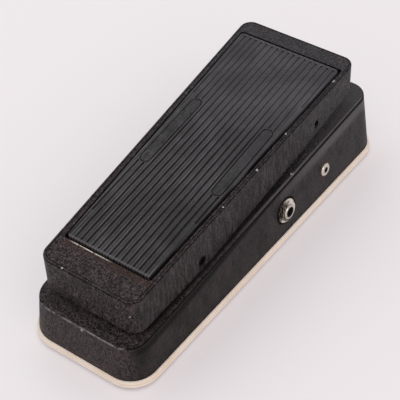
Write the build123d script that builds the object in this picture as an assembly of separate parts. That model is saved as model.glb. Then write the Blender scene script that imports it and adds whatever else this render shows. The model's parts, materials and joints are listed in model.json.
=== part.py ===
"""Volume pedal: a cast treadle rocks on a cast wedge chassis and drives a pot through a rack and pinion.

Frame, in millimetres: +X is the player's right, +Y runs from heel to toe, +Z is up.
The origin is on the floor, under the middle of the chassis.
"""

import math
import os

from build123d import *

# Chassis casting
CHASSIS_LENGTH = 250.0
CHASSIS_HEEL_HALF = 39.0
CHASSIS_TOE_HALF = 50.7
CHASSIS_CORNER_R = 17.0
CHASSIS_BOTTOM_Z = 6.2
CHASSIS_DRAFT = 7.5
CHASSIS_WALL = 3.0
DECK_MID_Z = 39.1
DECK_SLOPE = 3.72
DECK_THICKNESS = 3.0
DECK_EDGE_R = 1.1
DECK_SLOT_CORNER_R = 2.0
BLIND_SKIN = 0.7

# Base: gasket, plate, feet and the screws that hold them
GASKET_OUTSET = 1.5
GASKET_STEP = 0.6
GASKET_STEP_Z = 3.9
GASKET_EDGE_R = 1.0
GASKET_INSET = 5.0
GASKET_BOTTOM_Z = 1.4
PLATE_BOTTOM_Z = 4.0
PLATE_THICKNESS = 1.6
PLATE_INSET = 1.5
CORNER_POSTS = [(26.0, -111.0), (36.0, 111.0)]
POST_R = 6.0
FOOT_R = 7.4
FOOT_TAPER = 0.8
FOOT_BORE_R = 2.3
FOOT_RECESS_R = 4.3
FOOT_RECESS_Z = 2.5
FOOT_WASHER_T = 0.6
BASE_SCREW_R = 1.95
BASE_SCREW_TIP_Z = 16.0
BASE_SCREW_HEAD = (3.7, 1.6)
RIVET_HOLE_R = 1.55

# Treadle casting
TREADLE_MID_Z = 69.44
TREADLE_SLOPE = 4.39
TREADLE_HEEL_Y = -112.6
TREADLE_TOE_Y = 105.6
TREADLE_HEEL_HALF = 32.5
TREADLE_TOE_HALF = 40.0
TREADLE_CORNER_R = 7.5
TREADLE_DRAFT = 0.9
TREADLE_WALL = 2.8
TREADLE_PLATE = 4.2
TREADLE_EDGE_R = 0.9
TREADLE_OUTLINE_Z = 70.0
TREADLE_SKIRT = 50.0
RIM_GROOVE_INSET = 1.3
RIM_GROOVE_WIDTH = 0.5
RIM_GROOVE_DEPTH = 0.3
SKIRT_CURVE_MID = (25.0, 45.5)
SKIRT_CURVE_TOE = (106.0, 58.2)

# Rubber tread
TREAD_SHIFT = 0.5
TREAD_HEEL_Y = -93.6
TREAD_TOE_Y = 91.8
TREAD_HEEL_HALF = 27.9
TREAD_TOE_HALF = 34.9
TREAD_CORNER_R = 2.0
TREAD_THICKNESS = 2.7
RECESS_HEEL_Y = -94.9
RECESS_TOE_Y = 94.0
RECESS_HEEL_HALF = 29.4
RECESS_TOE_HALF = 36.4
RECESS_DEPTH = 1.8
RIB_SHIFT = 0.9
RIB_PITCH = 3.95
RIB_LINES_EACH_SIDE = 8
RIB_GROOVE_TOP = 1.9
RIB_GROOVE_FLOOR = 0.8
RIB_GROOVE_DEPTH = 1.0
RIB_BORDER = 0.5
RIB_END = 1.3
PLAQUE_X = 25.1
PLAQUE_WIDTH = 6.2
PLAQUE_LENGTH = 56.6
PLAQUE_RING = 0.7

# Pivot
PIVOT_Y = -55.0
PIVOT_Z = 43.25
PIVOT_R = 2.5
PIVOT_HALF_LENGTH = 33.4
PIVOT_FIT = 0.05
LUG_INNER_X = 17.0
LUG_OUTER_X = 25.0
LUG_R = 6.4
LUG_FOOT_HALF = 9.0
LUG_ROOT = 6.0
BUSH_R = 4.0
BUSH_FIT = 0.02
BOSS_INNER_X = 27.5
BOSS_R = 6.0
BOSS_LENGTH = 9.0
BOSS_RIB_HALF = 2.0
SKIRT_BOTTOM_R = 6.9
TOE_DOWN = 2.8
HEEL_DOWN = 3.8
CLIP_T = 0.8
CLIP_GROOVE = 0.5
CLIP_R = 4.6
CLIP_GAP = 0.4
CLIP_PLAY = 0.02
THRUST_GAP = 0.15

# Stops
BUMPER_R = 8.0
BUMPER_H = 3.0
BUMPER_EDGE_R = 0.8
STOP_R = 5.0
STOP_CLEARANCE = 0.15
HEEL_STOP_Y = -98.0
TOE_STOP_Y = 92.0

# Rack and pinion
RACK_PIN_Y = 61.3
RACK_PIN_Z = 59.4
RACK_PIN_R = 1.95
RACK_PIN_HALF_LENGTH = 10.5
PIN_CLIP_GROOVE = 0.4
PIN_CLIP_R = 3.6
SKIRT_PIN_HOLE_R = 1.95
PIN_LUG_INNER_X = 3.2
PIN_LUG_OUTER_X = 8.0
PIN_LUG_R = 5.0
GEAR_MODULE = 0.8
PINION_TEETH = 15
PRESSURE_ANGLE = 20.0
ADDENDUM = 0.64
DEDENDUM = 1.0
BACKLASH = 0.12
PINION_Z = 25.0
PINION_HALF_WIDTH = 2.6
PINION_HUB = 3.4
GRUB_X = 4.4
GRUB_R = 1.0
RACK_PITCH_Y = 58.5
RACK_HALF_WIDTH = 2.5
RACK_BACK_Y = 64.0
RACK_BOTTOM_Z = 13.2
RACK_TEETH_BELOW = 4
RACK_TEETH_ABOVE = 4
RACK_SLOT_CLEARANCE = 0.15
RACK_EYE_R = 4.7
DECK_SLOT_HALF = 9.0
DECK_SLOT_Y = (48.5, 66.3)
GUIDE_SCREW_Y = (69.5, 75.0)
GUIDE_HALF = 7.0
GUIDE_TOE_Y = 78.0
GUIDE_BOTTOM_Z = 33.0
GUIDE_PLAY = 0.2

# Potentiometer and its bracket
POT_SHAFT_R = 3.0
POT_SHAFT_FIT = 0.05
POT_SHAFT_END_X = 6.6
POT_BUSH_R = 3.5
POT_BUSH_END_X = -4.6
POT_BODY_R = 11.0
POT_BODY_LENGTH = 12.5
POT_TAG_PITCH = 5.0
POT_TAG_DROP = 4.5
BRACKET_X = (-11.0, -9.0)
BRACKET_Y = (38.0, 66.0)
BRACKET_BOTTOM_Z = 13.0
BRACKET_FLANGE_X = -25.0
BRACKET_FLANGE_T = 2.0
BRACKET_SCREWS = [(-20.0, 42.0), (-20.0, 62.5)]
DECK_SCREW_R = 1.45
DECK_SCREW_HOLE_R = 1.5
DECK_SCREW_CLEAR_R = 1.6
BRACKET_SCREW_HEAD = (2.8, 1.6)
GUIDE_SCREW_HEAD = (2.6, 1.5)
POT_WASHER_R = 6.0
POT_WASHER_T = 0.6
POT_NUT_R = 5.6
POT_NUT_T = 2.0

# Sockets in the side walls: distance along the wall and height of each centre
JACK_Y = 19.8
JACK_Z = 22.6
JACK_BORE_R = 3.25
JACK_BUSH_R = 4.7
JACK_BUSH_OUT = 3.2
JACK_WASHER_R = 7.8
JACK_WASHER_T = 0.7
JACK_NUT_T = 1.7
JACK_NUT_R = 7.1
JACK_BODY = (17.0, 17.0, 18.0)
JACK_FLANGE_R = 8.4
JACK_FLANGE_T = 2.0
JACK_TAG_PITCH = 5.0
JACK_TAG = (2.4, 0.6, 5.0)
JACK_BACK_WALL = 2.0
SOCKET_Y = 62.1
SOCKET_Z = 23.4
SOCKET_BORE_R = 1.75
SOCKET_BUSH_R = 3.0
SOCKET_NUT_R = 4.25
SOCKET_NUT_T = 1.5
SOCKET_BODY_R = 5.2
SOCKET_BODY_LENGTH = 11.0
SOCKET_BUSH_OUT = 1.0
SOCKET_BACK_WALL = 1.5
SOCKET_TAG_Y = 2.5
HOLE_FIT = 0.1

# Circuit board and battery
BOARD_X = 22.0
BOARD_Y = (-48.0, -2.0)
BOARD_Z = 24.0
BOARD_T = 1.6
BOARD_POSTS = [(-18.0, -44.0), (18.0, -44.0), (-18.0, -10.0), (18.0, -10.0)]
BOARD_POST_R = 3.0
BOARD_SCREW_R = 1.2
BOARD_SCREW_HEAD = (2.5, 1.5)
BOARD_SCREW_LENGTH = 7.0
CAPACITORS = [(-9.0, -34.0, 4.0, 11.0), (4.0, -36.0, 3.2, 9.0), (-10.0, -14.0, 3.2, 9.0)]
RESISTOR_X = (9.0, 15.5)
RESISTOR_R = 1.2
RESISTOR_Y = [-33.5, -28.5, -23.5, -18.5, -13.5, -8.5]
TRANSISTOR_X = 2.0
TRANSISTOR_Y = [-22.0, -8.0]
TRANSISTOR_R = 2.4
LEAD_PITCH = 1.27
BATTERY_SIZE = (48.5, 26.5, 17.5)
STUD_OFFSET = 6.35
STUD_HEIGHT = 2.9
SMALL_STUD_R = 2.9
LARGE_STUD_R = 3.6
SNAP_THICKNESS = 4.6
SNAP_HALF_HEIGHT = 6.0
BATTERY_CLIP_HALF = 7.0
BATTERY_CLIP_T = 0.8
BATTERY_CLIP_HEIGHT = 14.0
BATTERY_Y = -90.5
BATTERY_BOTTOM_Z = 7.2
WIRE_R = 0.75
WIRE_MAX_BEND_R = 12.0
BOARD_WIRE_Y = -4.0

PLATE_TOP_Z = PLATE_BOTTOM_Z + PLATE_THICKNESS
WALL_THROUGH = CHASSIS_WALL * math.cos(math.radians(CHASSIS_DRAFT))
PINION_PITCH_R = GEAR_MODULE * PINION_TEETH / 2
PINION_Y = RACK_PITCH_Y - PINION_PITCH_R
TOOTH_PITCH = math.pi * GEAR_MODULE
FAR = 400.0
TALL = 60.0


def sloped_plane(mid_z, slope):
    """Plane through (0, 0, mid_z) that rises towards the toe by slope degrees."""
    angle = math.radians(slope)
    return Plane(origin=(0, 0, mid_z), x_dir=(1, 0, 0), z_dir=(0, -math.sin(angle), math.cos(angle)))


def above(plane, lift=0.0):
    """Large block whose lower face lies on the plane, moved along its normal by lift."""
    return plane * Pos(0, 0, FAR / 2 + lift) * Box(FAR, FAR, FAR)


DECK = sloped_plane(DECK_MID_Z, DECK_SLOPE)
TREADLE_TOP = sloped_plane(TREADLE_MID_Z, TREADLE_SLOPE)


def wedge(heel_half, toe_half, heel_y, toe_y, corner_r):
    """Flat trapezoid, wider at the toe, with rounded corners."""
    points = [(-heel_half, heel_y), (heel_half, heel_y), (toe_half, toe_y), (-toe_half, toe_y)]
    face = make_face(Polyline(*points, close=True))
    return fillet(face.vertices(), corner_r)


def rod_x(radius, x0, x1, y, z):
    """Cylinder along X from x0 to x1."""
    return Pos((x0 + x1) / 2, y, z) * Rot(0, 90, 0) * Cylinder(radius, abs(x1 - x0))


def tube_x(outer, inner, x0, x1, y, z):
    """Ring along X from x0 to x1."""
    return rod_x(outer, x0, x1, y, z) - rod_x(inner, x0 - 1, x1 + 1, y, z)


def rod_z(radius, x, y, z0, z1):
    """Upright cylinder from z0 to z1."""
    return Pos(x, y, (z0 + z1) / 2) * Cylinder(radius, z1 - z0)


def block(x0, x1, y0, y1, z0, z1):
    """Box between two corners."""
    return Pos((x0 + x1) / 2, (y0 + y1) / 2, (z0 + z1) / 2) * Box(x1 - x0, y1 - y0, z1 - z0)


def both_sides(shape):
    """The shape and its mirror image across the middle plane, as two solids."""
    return [shape, mirror(shape, about=Plane.YZ)]


def corner_points():
    """The four places where a foot, its screw and a chassis post line up."""
    return [(side * x, y) for x, y in CORNER_POSTS for side in (-1, 1)]


def chassis_outline():
    half = CHASSIS_LENGTH / 2
    return wedge(CHASSIS_HEEL_HALF, CHASSIS_TOE_HALF, -half, half, CHASSIS_CORNER_R)


def wall_plane(side, y, z):
    """Plane on the outside of a chassis side wall, normal outwards; side is 1 for right."""
    turn = math.atan2(CHASSIS_TOE_HALF - CHASSIS_HEEL_HALF, CHASSIS_LENGTH)
    draft = math.radians(CHASSIS_DRAFT)
    half = (CHASSIS_HEEL_HALF + CHASSIS_TOE_HALF) / 2 + y * math.tan(turn)
    rise = (z - CHASSIS_BOTTOM_Z) * math.tan(draft)
    origin = (side * (half - rise * math.cos(turn)), y + rise * math.sin(turn), z)
    normal = (
        side * math.cos(draft) * math.cos(turn),
        -math.cos(draft) * math.sin(turn),
        math.sin(draft),
    )
    along = (side * math.sin(turn), math.cos(turn), 0)
    return Plane(origin=origin, x_dir=along, z_dir=normal)


def drafted(outline, bottom_z, height, draft):
    """Block rising from an outline, its walls leaning in by draft degrees."""
    return extrude(Pos(0, 0, bottom_z) * outline, amount=height, taper=draft)


def turned_about_pivot(shape, degrees):
    """Shape turned about the treadle's pivot; positive lifts the toe."""
    return Pos(0, PIVOT_Y, PIVOT_Z) * Rot(degrees, 0, 0) * Pos(0, -PIVOT_Y, -PIVOT_Z) * shape


def chassis_shell():
    """Open-bottomed wedge casting with pivot lugs on its deck and posts inside."""
    outer = drafted(chassis_outline(), CHASSIS_BOTTOM_Z, TALL, CHASSIS_DRAFT) - above(DECK)
    outer = fillet(outer.faces().sort_by(Axis.Z)[-1].edges(), DECK_EDGE_R)
    inner_outline = offset(chassis_outline(), amount=-CHASSIS_WALL)
    inner = drafted(inner_outline, CHASSIS_BOTTOM_Z, TALL, CHASSIS_DRAFT)
    inner -= above(DECK, -DECK_THICKNESS)
    shell = outer - inner
    under_deck = above(DECK, -DECK_THICKNESS / 2)
    for x, y in corner_points():
        post = rod_z(POST_R, x, y, PLATE_TOP_Z, TALL) - under_deck
        shell += post
        shell -= rod_z(BASE_SCREW_R + PIVOT_FIT, x, y, 0, BASE_SCREW_TIP_Z + 2)
    for x, y in BOARD_POSTS:
        post = rod_z(BOARD_POST_R, x, y, BOARD_Z + BOARD_T, TALL) - under_deck
        shell += post
        shell -= rod_z(BOARD_SCREW_R + PIVOT_FIT, x, y, BOARD_Z, BOARD_Z + BOARD_SCREW_LENGTH + 1)
    for side in (-1, 1):
        lug = chassis_lug()
        shell += lug if side == 1 else mirror(lug, about=Plane.YZ)
    shell -= rod_x(BUSH_R + BUSH_FIT, -LUG_OUTER_X - 1, LUG_OUTER_X + 1, PIVOT_Y, PIVOT_Z)
    slot = block(-DECK_SLOT_HALF, DECK_SLOT_HALF, *DECK_SLOT_Y, DECK_MID_Z / 2, TALL)
    shell -= fillet(slot.edges() | Axis.Z, DECK_SLOT_CORNER_R)
    for x, y in BRACKET_SCREWS + [(0, y) for y in GUIDE_SCREW_Y]:
        shell -= rod_z(DECK_SCREW_HOLE_R, x, y, PINION_Z, deck_height(y) - BLIND_SKIN)
    for side in (-1, 1):
        shell -= wall_plane(side, JACK_Y, JACK_Z) * Cylinder(JACK_BUSH_R + HOLE_FIT, 12)
    shell -= wall_plane(1, SOCKET_Y, SOCKET_Z) * Cylinder(SOCKET_BUSH_R + HOLE_FIT, 12)
    return shell


def deck_height(y):
    """Height of the deck's top face at y."""
    return DECK_MID_Z + y * math.tan(math.radians(DECK_SLOPE))


def chassis_lug():
    """One ear on the deck that holds the pivot."""
    heel, toe, root = PIVOT_Y - LUG_FOOT_HALF, PIVOT_Y + LUG_FOOT_HALF, DECK_MID_Z - LUG_ROOT
    foot = block(LUG_INNER_X, LUG_OUTER_X, heel, toe, root, PIVOT_Z - LUG_R / 2)
    ear = rod_x(LUG_R, LUG_INNER_X, LUG_OUTER_X, PIVOT_Y, PIVOT_Z)
    web = block(LUG_INNER_X, LUG_OUTER_X, PIVOT_Y - LUG_R, PIVOT_Y + LUG_R, root, PIVOT_Z)
    return foot + ear + web


def base_gasket():
    """Rubber moulding round the foot of the chassis: a stepped side, and a groove for the base plate."""
    outer = offset(chassis_outline(), amount=GASKET_OUTSET)
    inner = offset(chassis_outline(), amount=-GASKET_INSET)
    height = CHASSIS_BOTTOM_Z - GASKET_BOTTOM_Z
    ring = extrude(Pos(0, 0, GASKET_BOTTOM_Z) * (outer - inner), amount=height)
    rim = ring.edges().filter_by_position(Axis.Z, GASKET_BOTTOM_Z, GASKET_BOTTOM_Z)
    rim = ShapeList([edge for edge in rim if edge_is_outer(edge)])
    ring = fillet(rim, GASKET_EDGE_R)
    step = offset(chassis_outline(), amount=GASKET_OUTSET + 1) - offset(
        chassis_outline(), amount=GASKET_OUTSET - GASKET_STEP
    )
    ring -= extrude(Pos(0, 0, GASKET_STEP_Z) * step, amount=height)
    groove = offset(chassis_outline(), amount=-PLATE_INSET)
    return ring - extrude(Pos(0, 0, PLATE_BOTTOM_Z) * groove, amount=PLATE_THICKNESS)


def edge_is_outer(edge):
    """True for an edge outside the chassis outline."""
    point = edge.center()
    half = CHASSIS_LENGTH / 2
    width = CHASSIS_HEEL_HALF + (CHASSIS_TOE_HALF - CHASSIS_HEEL_HALF) * (point.Y + half) / CHASSIS_LENGTH
    return abs(point.X) > width - 3 or abs(point.Y) > half - 3


def base_plate():
    plate = extrude(
        Pos(0, 0, PLATE_BOTTOM_Z) * offset(chassis_outline(), amount=-PLATE_INSET - HOLE_FIT),
        amount=PLATE_THICKNESS,
    )
    for x, y in corner_points():
        plate -= rod_z(BASE_SCREW_R + 0.2, x, y, 0, PLATE_TOP_Z + 1)
    return plate - rod_z(RIVET_HOLE_R, 0, BATTERY_Y, 0, PLATE_TOP_Z + 1)


def rubber_feet():
    feet = []
    for x, y in corner_points():
        foot = Pos(x, y, 0) * Solid.make_cone(FOOT_R - FOOT_TAPER, FOOT_R, PLATE_BOTTOM_Z)
        foot -= rod_z(FOOT_RECESS_R, x, y, -1, FOOT_RECESS_Z)
        feet.append(foot - rod_z(FOOT_BORE_R, x, y, -1, PLATE_BOTTOM_Z + 1))
    return feet


def foot_washers():
    washers = []
    for x, y in corner_points():
        disc = rod_z(FOOT_RECESS_R - HOLE_FIT, x, y, FOOT_RECESS_Z - FOOT_WASHER_T, FOOT_RECESS_Z)
        washers.append(disc - rod_z(BASE_SCREW_R + 0.15, x, y, 0, PLATE_BOTTOM_Z))
    return washers


def pan_screw(x, y, head_z, tip_z, shank_r, head_size):
    """Pan-head screw pointing up, its head below head_z, with a cross recess."""
    head_r, head_h = head_size
    head = fillet(rod_z(head_r, x, y, head_z - head_h, head_z).edges().group_by(Axis.Z)[0], head_h * 0.45)
    screw = head + rod_z(shank_r, x, y, head_z - 0.1, tip_z)
    cross = Pos(x, y, head_z - head_h) * (Box(head_r, head_r * 0.28, 1.2) + Box(head_r * 0.28, head_r, 1.2))
    return screw - cross


def base_screws():
    head_z = FOOT_RECESS_Z - FOOT_WASHER_T
    return [
        pan_screw(x, y, head_z, BASE_SCREW_TIP_Z, BASE_SCREW_R, BASE_SCREW_HEAD) for x, y in corner_points()
    ]


def skirt_underside():
    """Everything below the treadle's skirt: level behind the pivot, then curving up to the toe."""
    low = PIVOT_Z - SKIRT_BOTTOM_R
    start = (PIVOT_Y + 0.8, low)
    curve = ThreePointArc(start, SKIRT_CURVE_MID, SKIRT_CURVE_TOE)
    end = SKIRT_CURVE_TOE
    rest = Polyline(end, (end[0] + 20, end[1] + 3), (end[0] + 20, -20), (-140, -20), (-140, low), start)
    face = make_face([curve] + rest.edges())
    return extrude(Plane.YZ * face, amount=FAR, both=True)


def treadle_outline():
    """Outline of the treadle's flat top."""
    return wedge(TREADLE_HEEL_HALF, TREADLE_TOE_HALF, TREADLE_HEEL_Y, TREADLE_TOE_Y, TREADLE_CORNER_R)


def treadle_block(inset, top_drop):
    """Solid treadle, its walls moved in by inset and its top lowered by top_drop."""
    flare = TREADLE_SKIRT * math.tan(math.radians(TREADLE_DRAFT))
    outline = offset(treadle_outline(), amount=flare - inset)
    body = drafted(outline, TREADLE_OUTLINE_Z - TREADLE_SKIRT, TREADLE_SKIRT + 20, TREADLE_DRAFT)
    return body - above(TREADLE_TOP, -top_drop)


def on_treadle_top(outline, depth):
    """The outline sunk into the treadle's top to a depth."""
    column = extrude(Pos(0, 0, TREADLE_MID_Z - TALL / 2) * outline, amount=TALL)
    return column & above(TREADLE_TOP, -depth)


def tread_outline():
    outline = wedge(TREAD_HEEL_HALF, TREAD_TOE_HALF, TREAD_HEEL_Y, TREAD_TOE_Y, TREAD_CORNER_R)
    return Pos(TREAD_SHIFT, 0) * outline


def recess_outline():
    """Recess for the tread, a little larger than the mat on every side."""
    outline = wedge(RECESS_HEEL_HALF, RECESS_TOE_HALF, RECESS_HEEL_Y, RECESS_TOE_Y, TREAD_CORNER_R)
    return Pos(TREAD_SHIFT, 0) * outline


def stop_post(y, limit):
    """Post under the treadle that meets a bumper at the limit, cut flush with the bumper's top."""
    post = rod_z(STOP_R, 0, y, PINION_Z, 2 * TALL) - above(TREADLE_TOP, -TREADLE_PLATE / 2)
    landing = above(DECK, BUMPER_H + STOP_CLEARANCE)
    return post & turned_about_pivot(landing, -limit)


def treadle_shell():
    """Treadle casting: skirted plate with the tread's recess, pivot bosses, pin lugs and stops."""
    body = treadle_block(0, 0)
    body = fillet(body.faces().sort_by(Axis.Z)[-1].edges(), TREADLE_EDGE_R)
    body -= skirt_underside()
    body -= treadle_block(TREADLE_WALL, TREADLE_PLATE)
    inside = treadle_block(TREADLE_WALL / 2, TREADLE_PLATE / 2)
    lug_top = TREADLE_MID_Z + 20
    for side in (-1, 1):
        inner_x, outer_x = side * BOSS_INNER_X, side * (BOSS_INNER_X + BOSS_LENGTH)
        boss = rod_x(BOSS_R, inner_x, outer_x, PIVOT_Y, PIVOT_Z)
        low_x, high_x = sorted((inner_x, outer_x))
        rib = block(low_x, high_x, PIVOT_Y - BOSS_RIB_HALF, PIVOT_Y + BOSS_RIB_HALF, PIVOT_Z, lug_top)
        body += (boss + rib) & inside
        inner_x, outer_x = side * PIN_LUG_INNER_X, side * PIN_LUG_OUTER_X
        ear = rod_x(PIN_LUG_R, inner_x, outer_x, RACK_PIN_Y, RACK_PIN_Z)
        low_x, high_x = sorted((inner_x, outer_x))
        web = block(low_x, high_x, RACK_PIN_Y - PIN_LUG_R, RACK_PIN_Y + PIN_LUG_R, RACK_PIN_Z, lug_top)
        body += ear + (web & inside)
    body += stop_post(HEEL_STOP_Y, HEEL_DOWN)
    body += stop_post(TOE_STOP_Y, -TOE_DOWN)
    body -= on_treadle_top(recess_outline(), RECESS_DEPTH)
    rim_outer = offset(treadle_outline(), amount=-RIM_GROOVE_INSET)
    rim_inner = offset(treadle_outline(), amount=-RIM_GROOVE_INSET - RIM_GROOVE_WIDTH)
    body -= on_treadle_top(rim_outer - rim_inner, RIM_GROOVE_DEPTH)
    body -= rod_x(PIVOT_R + PIVOT_FIT, -FAR / 4, FAR / 4, PIVOT_Y, PIVOT_Z)
    through = PIN_LUG_OUTER_X + 1
    body -= rod_x(RACK_PIN_R + PIVOT_FIT, -through, through, RACK_PIN_Y, RACK_PIN_Z)
    return body - rod_x(SKIRT_PIN_HOLE_R, TREADLE_HEEL_HALF, TALL, RACK_PIN_Y, RACK_PIN_Z)


def plaque(grow=0.0):
    """Outlines of the two blank plaques, one on each side, enlarged all round by grow."""
    width, length = PLAQUE_WIDTH + 2 * grow, PLAQUE_LENGTH + 2 * grow
    pair = Sketch()
    for side in (-1, 1):
        pair += Pos(RIB_SHIFT + side * PLAQUE_X, 0) * Rot(0, 0, 90) * SlotOverall(length, width)
    return pair


def rib_groove(x):
    """One groove with sloping sides, as long as the mat is wide enough to hold it."""
    top = TREAD_THICKNESS - RECESS_DEPTH
    floor = top - RIB_GROOVE_DEPTH
    half_top, half_floor = RIB_GROOVE_TOP / 2, RIB_GROOVE_FLOOR / 2
    right = [(x + half_floor, floor), (x + half_top, top), (x + half_top, top + 1)]
    left = [(x - half_top, top + 1), (x - half_top, top), (x - half_floor, floor)]
    face = Plane.XZ * make_face(Polyline(*right, *left, close=True))
    taper = (TREAD_TOE_HALF - TREAD_HEEL_HALF) / (TREAD_TOE_Y - TREAD_HEEL_Y)
    needed = abs(x - TREAD_SHIFT) + half_top + RIB_BORDER
    heel = TREAD_HEEL_Y + max(RIB_END, (needed - TREAD_HEEL_HALF) / taper)
    toe = TREAD_TOE_Y - RIB_END
    return TREADLE_TOP * Pos(0, (heel + toe) / 2, 0) * extrude(face, amount=(toe - heel) / 2, both=True)


def rubber_tread():
    """Ribbed rubber mat in the treadle's recess, standing a little proud of the rim."""
    proud = TREAD_THICKNESS - RECESS_DEPTH
    mat = on_treadle_top(tread_outline(), RECESS_DEPTH) - above(TREADLE_TOP, proud)
    plaques = on_treadle_top(plaque(2 * PLAQUE_RING), RECESS_DEPTH)
    for line in range(-RIB_LINES_EACH_SIDE, RIB_LINES_EACH_SIDE + 1):
        mat -= rib_groove(RIB_SHIFT + line * RIB_PITCH) - plaques
    rings = plaque(PLAQUE_RING) - plaque()
    return mat - on_treadle_top(rings, RIB_GROOVE_DEPTH - proud)


def pivot_shaft():
    """Steel shaft across the treadle, grooved for its two clips."""
    shaft = rod_x(PIVOT_R, -PIVOT_HALF_LENGTH, PIVOT_HALF_LENGTH, PIVOT_Y, PIVOT_Z)
    shaft = chamfer(shaft.edges().filter_by(GeomType.CIRCLE), 0.4)
    start = LUG_INNER_X - CLIP_GAP - CLIP_T
    ring = tube_x(PIVOT_R + 1, PIVOT_R - CLIP_GROOVE, start, start + CLIP_T, PIVOT_Y, PIVOT_Z)
    for groove in both_sides(ring):
        shaft -= groove
    return shaft


def open_clip(start, y, z, groove_r, outer):
    """Spring clip in a groove that begins at start, its mouth facing down."""
    x0, x1, inner = start + CLIP_PLAY, start + CLIP_T - CLIP_PLAY, groove_r + CLIP_PLAY
    mouth = block(x0 - 1, x1 + 1, y - inner * 0.6, y + inner * 0.6, z - outer - 1, z)
    return tube_x(outer, inner, x0, x1, y, z) - mouth


def pivot_clips():
    start = LUG_INNER_X - CLIP_GAP - CLIP_T
    return both_sides(open_clip(start, PIVOT_Y, PIVOT_Z, PIVOT_R - CLIP_GROOVE, CLIP_R))


def pivot_bushes():
    return both_sides(tube_x(BUSH_R, PIVOT_R + PIVOT_FIT, LUG_INNER_X, LUG_OUTER_X, PIVOT_Y, PIVOT_Z))


def thrust_washers():
    start, end = LUG_OUTER_X + THRUST_GAP, BOSS_INNER_X - THRUST_GAP
    return both_sides(tube_x(BOSS_R - 0.5, PIVOT_R + PIVOT_FIT, start, end, PIVOT_Y, PIVOT_Z))


def bumper(y):
    """Rubber disc stuck to the deck."""
    disc = Cylinder(BUMPER_R, BUMPER_H)
    disc = fillet(disc.edges().group_by(Axis.Z)[-1], BUMPER_EDGE_R)
    return DECK * Pos(0, y / math.cos(math.radians(DECK_SLOPE)), BUMPER_H / 2) * disc


def rack_pin():
    start = PIN_LUG_OUTER_X + CLIP_GAP
    floor_r = RACK_PIN_R - PIN_CLIP_GROOVE
    pin = rod_x(RACK_PIN_R, -RACK_PIN_HALF_LENGTH, RACK_PIN_HALF_LENGTH, RACK_PIN_Y, RACK_PIN_Z)
    for groove in both_sides(tube_x(RACK_PIN_R + 1, floor_r, start, start + CLIP_T, RACK_PIN_Y, RACK_PIN_Z)):
        pin -= groove
    return pin


def pin_clips():
    start = PIN_LUG_OUTER_X + CLIP_GAP
    return both_sides(open_clip(start, RACK_PIN_Y, RACK_PIN_Z, RACK_PIN_R - PIN_CLIP_GROOVE, PIN_CLIP_R))


def pin_offset(degrees):
    """How far the rack pin moves along Y when the treadle turns."""
    angle = math.radians(degrees)
    reach = RACK_PIN_Y - PIVOT_Y
    rise = RACK_PIN_Z - PIVOT_Z
    return reach * (math.cos(angle) - 1) - rise * math.sin(angle)


def rack():
    """Toothed bar that hangs from the treadle's pin by a slotted eye."""
    tan_pressure = math.tan(math.radians(PRESSURE_ANGLE))
    tip_y = RACK_PITCH_Y - ADDENDUM
    root_y = RACK_PITCH_Y + DEDENDUM
    half_at_pitch = TOOTH_PITCH / 4 - BACKLASH / 2
    half_tip = half_at_pitch - ADDENDUM * tan_pressure
    half_root = half_at_pitch + DEDENDUM * tan_pressure
    body = block(-RACK_HALF_WIDTH, RACK_HALF_WIDTH, root_y, RACK_BACK_Y, RACK_BOTTOM_Z, RACK_PIN_Z)
    for index in range(-RACK_TEETH_BELOW, RACK_TEETH_ABOVE):
        z = PINION_Z + (index + 0.5) * TOOTH_PITCH
        corners = [
            (root_y + 0.2, z - half_root),
            (root_y, z - half_root),
            (tip_y, z - half_tip),
            (tip_y, z + half_tip),
            (root_y, z + half_root),
            (root_y + 0.2, z + half_root),
        ]
        face = make_face(Polyline(*corners, close=True))
        body += extrude(Plane.YZ * face, amount=RACK_HALF_WIDTH, both=True)
    low = pin_offset(HEEL_DOWN) - RACK_SLOT_CLEARANCE
    high = pin_offset(-TOE_DOWN) + RACK_SLOT_CLEARANCE
    middle = RACK_PIN_Y + (low + high) / 2
    slot_r = RACK_PIN_R + RACK_SLOT_CLEARANCE
    eye = Pos(middle, RACK_PIN_Z) * SlotCenterToCenter(high - low, 2 * RACK_EYE_R)
    hole = Pos(middle, RACK_PIN_Z) * SlotCenterToCenter(high - low, 2 * slot_r)
    body += extrude(Plane.YZ * eye, amount=RACK_HALF_WIDTH, both=True)
    return body - extrude(Plane.YZ * hole, amount=RACK_HALF_WIDTH + 1, both=True)


def involute_point(base_r, radius, start_angle, direction):
    """Point on a tooth flank at a radius, its angle counted from the base circle."""
    roll = math.sqrt(max((radius / base_r) ** 2 - 1, 0))
    angle = start_angle + direction * (roll - math.atan(roll))
    return (radius * math.cos(angle), radius * math.sin(angle))


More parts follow.
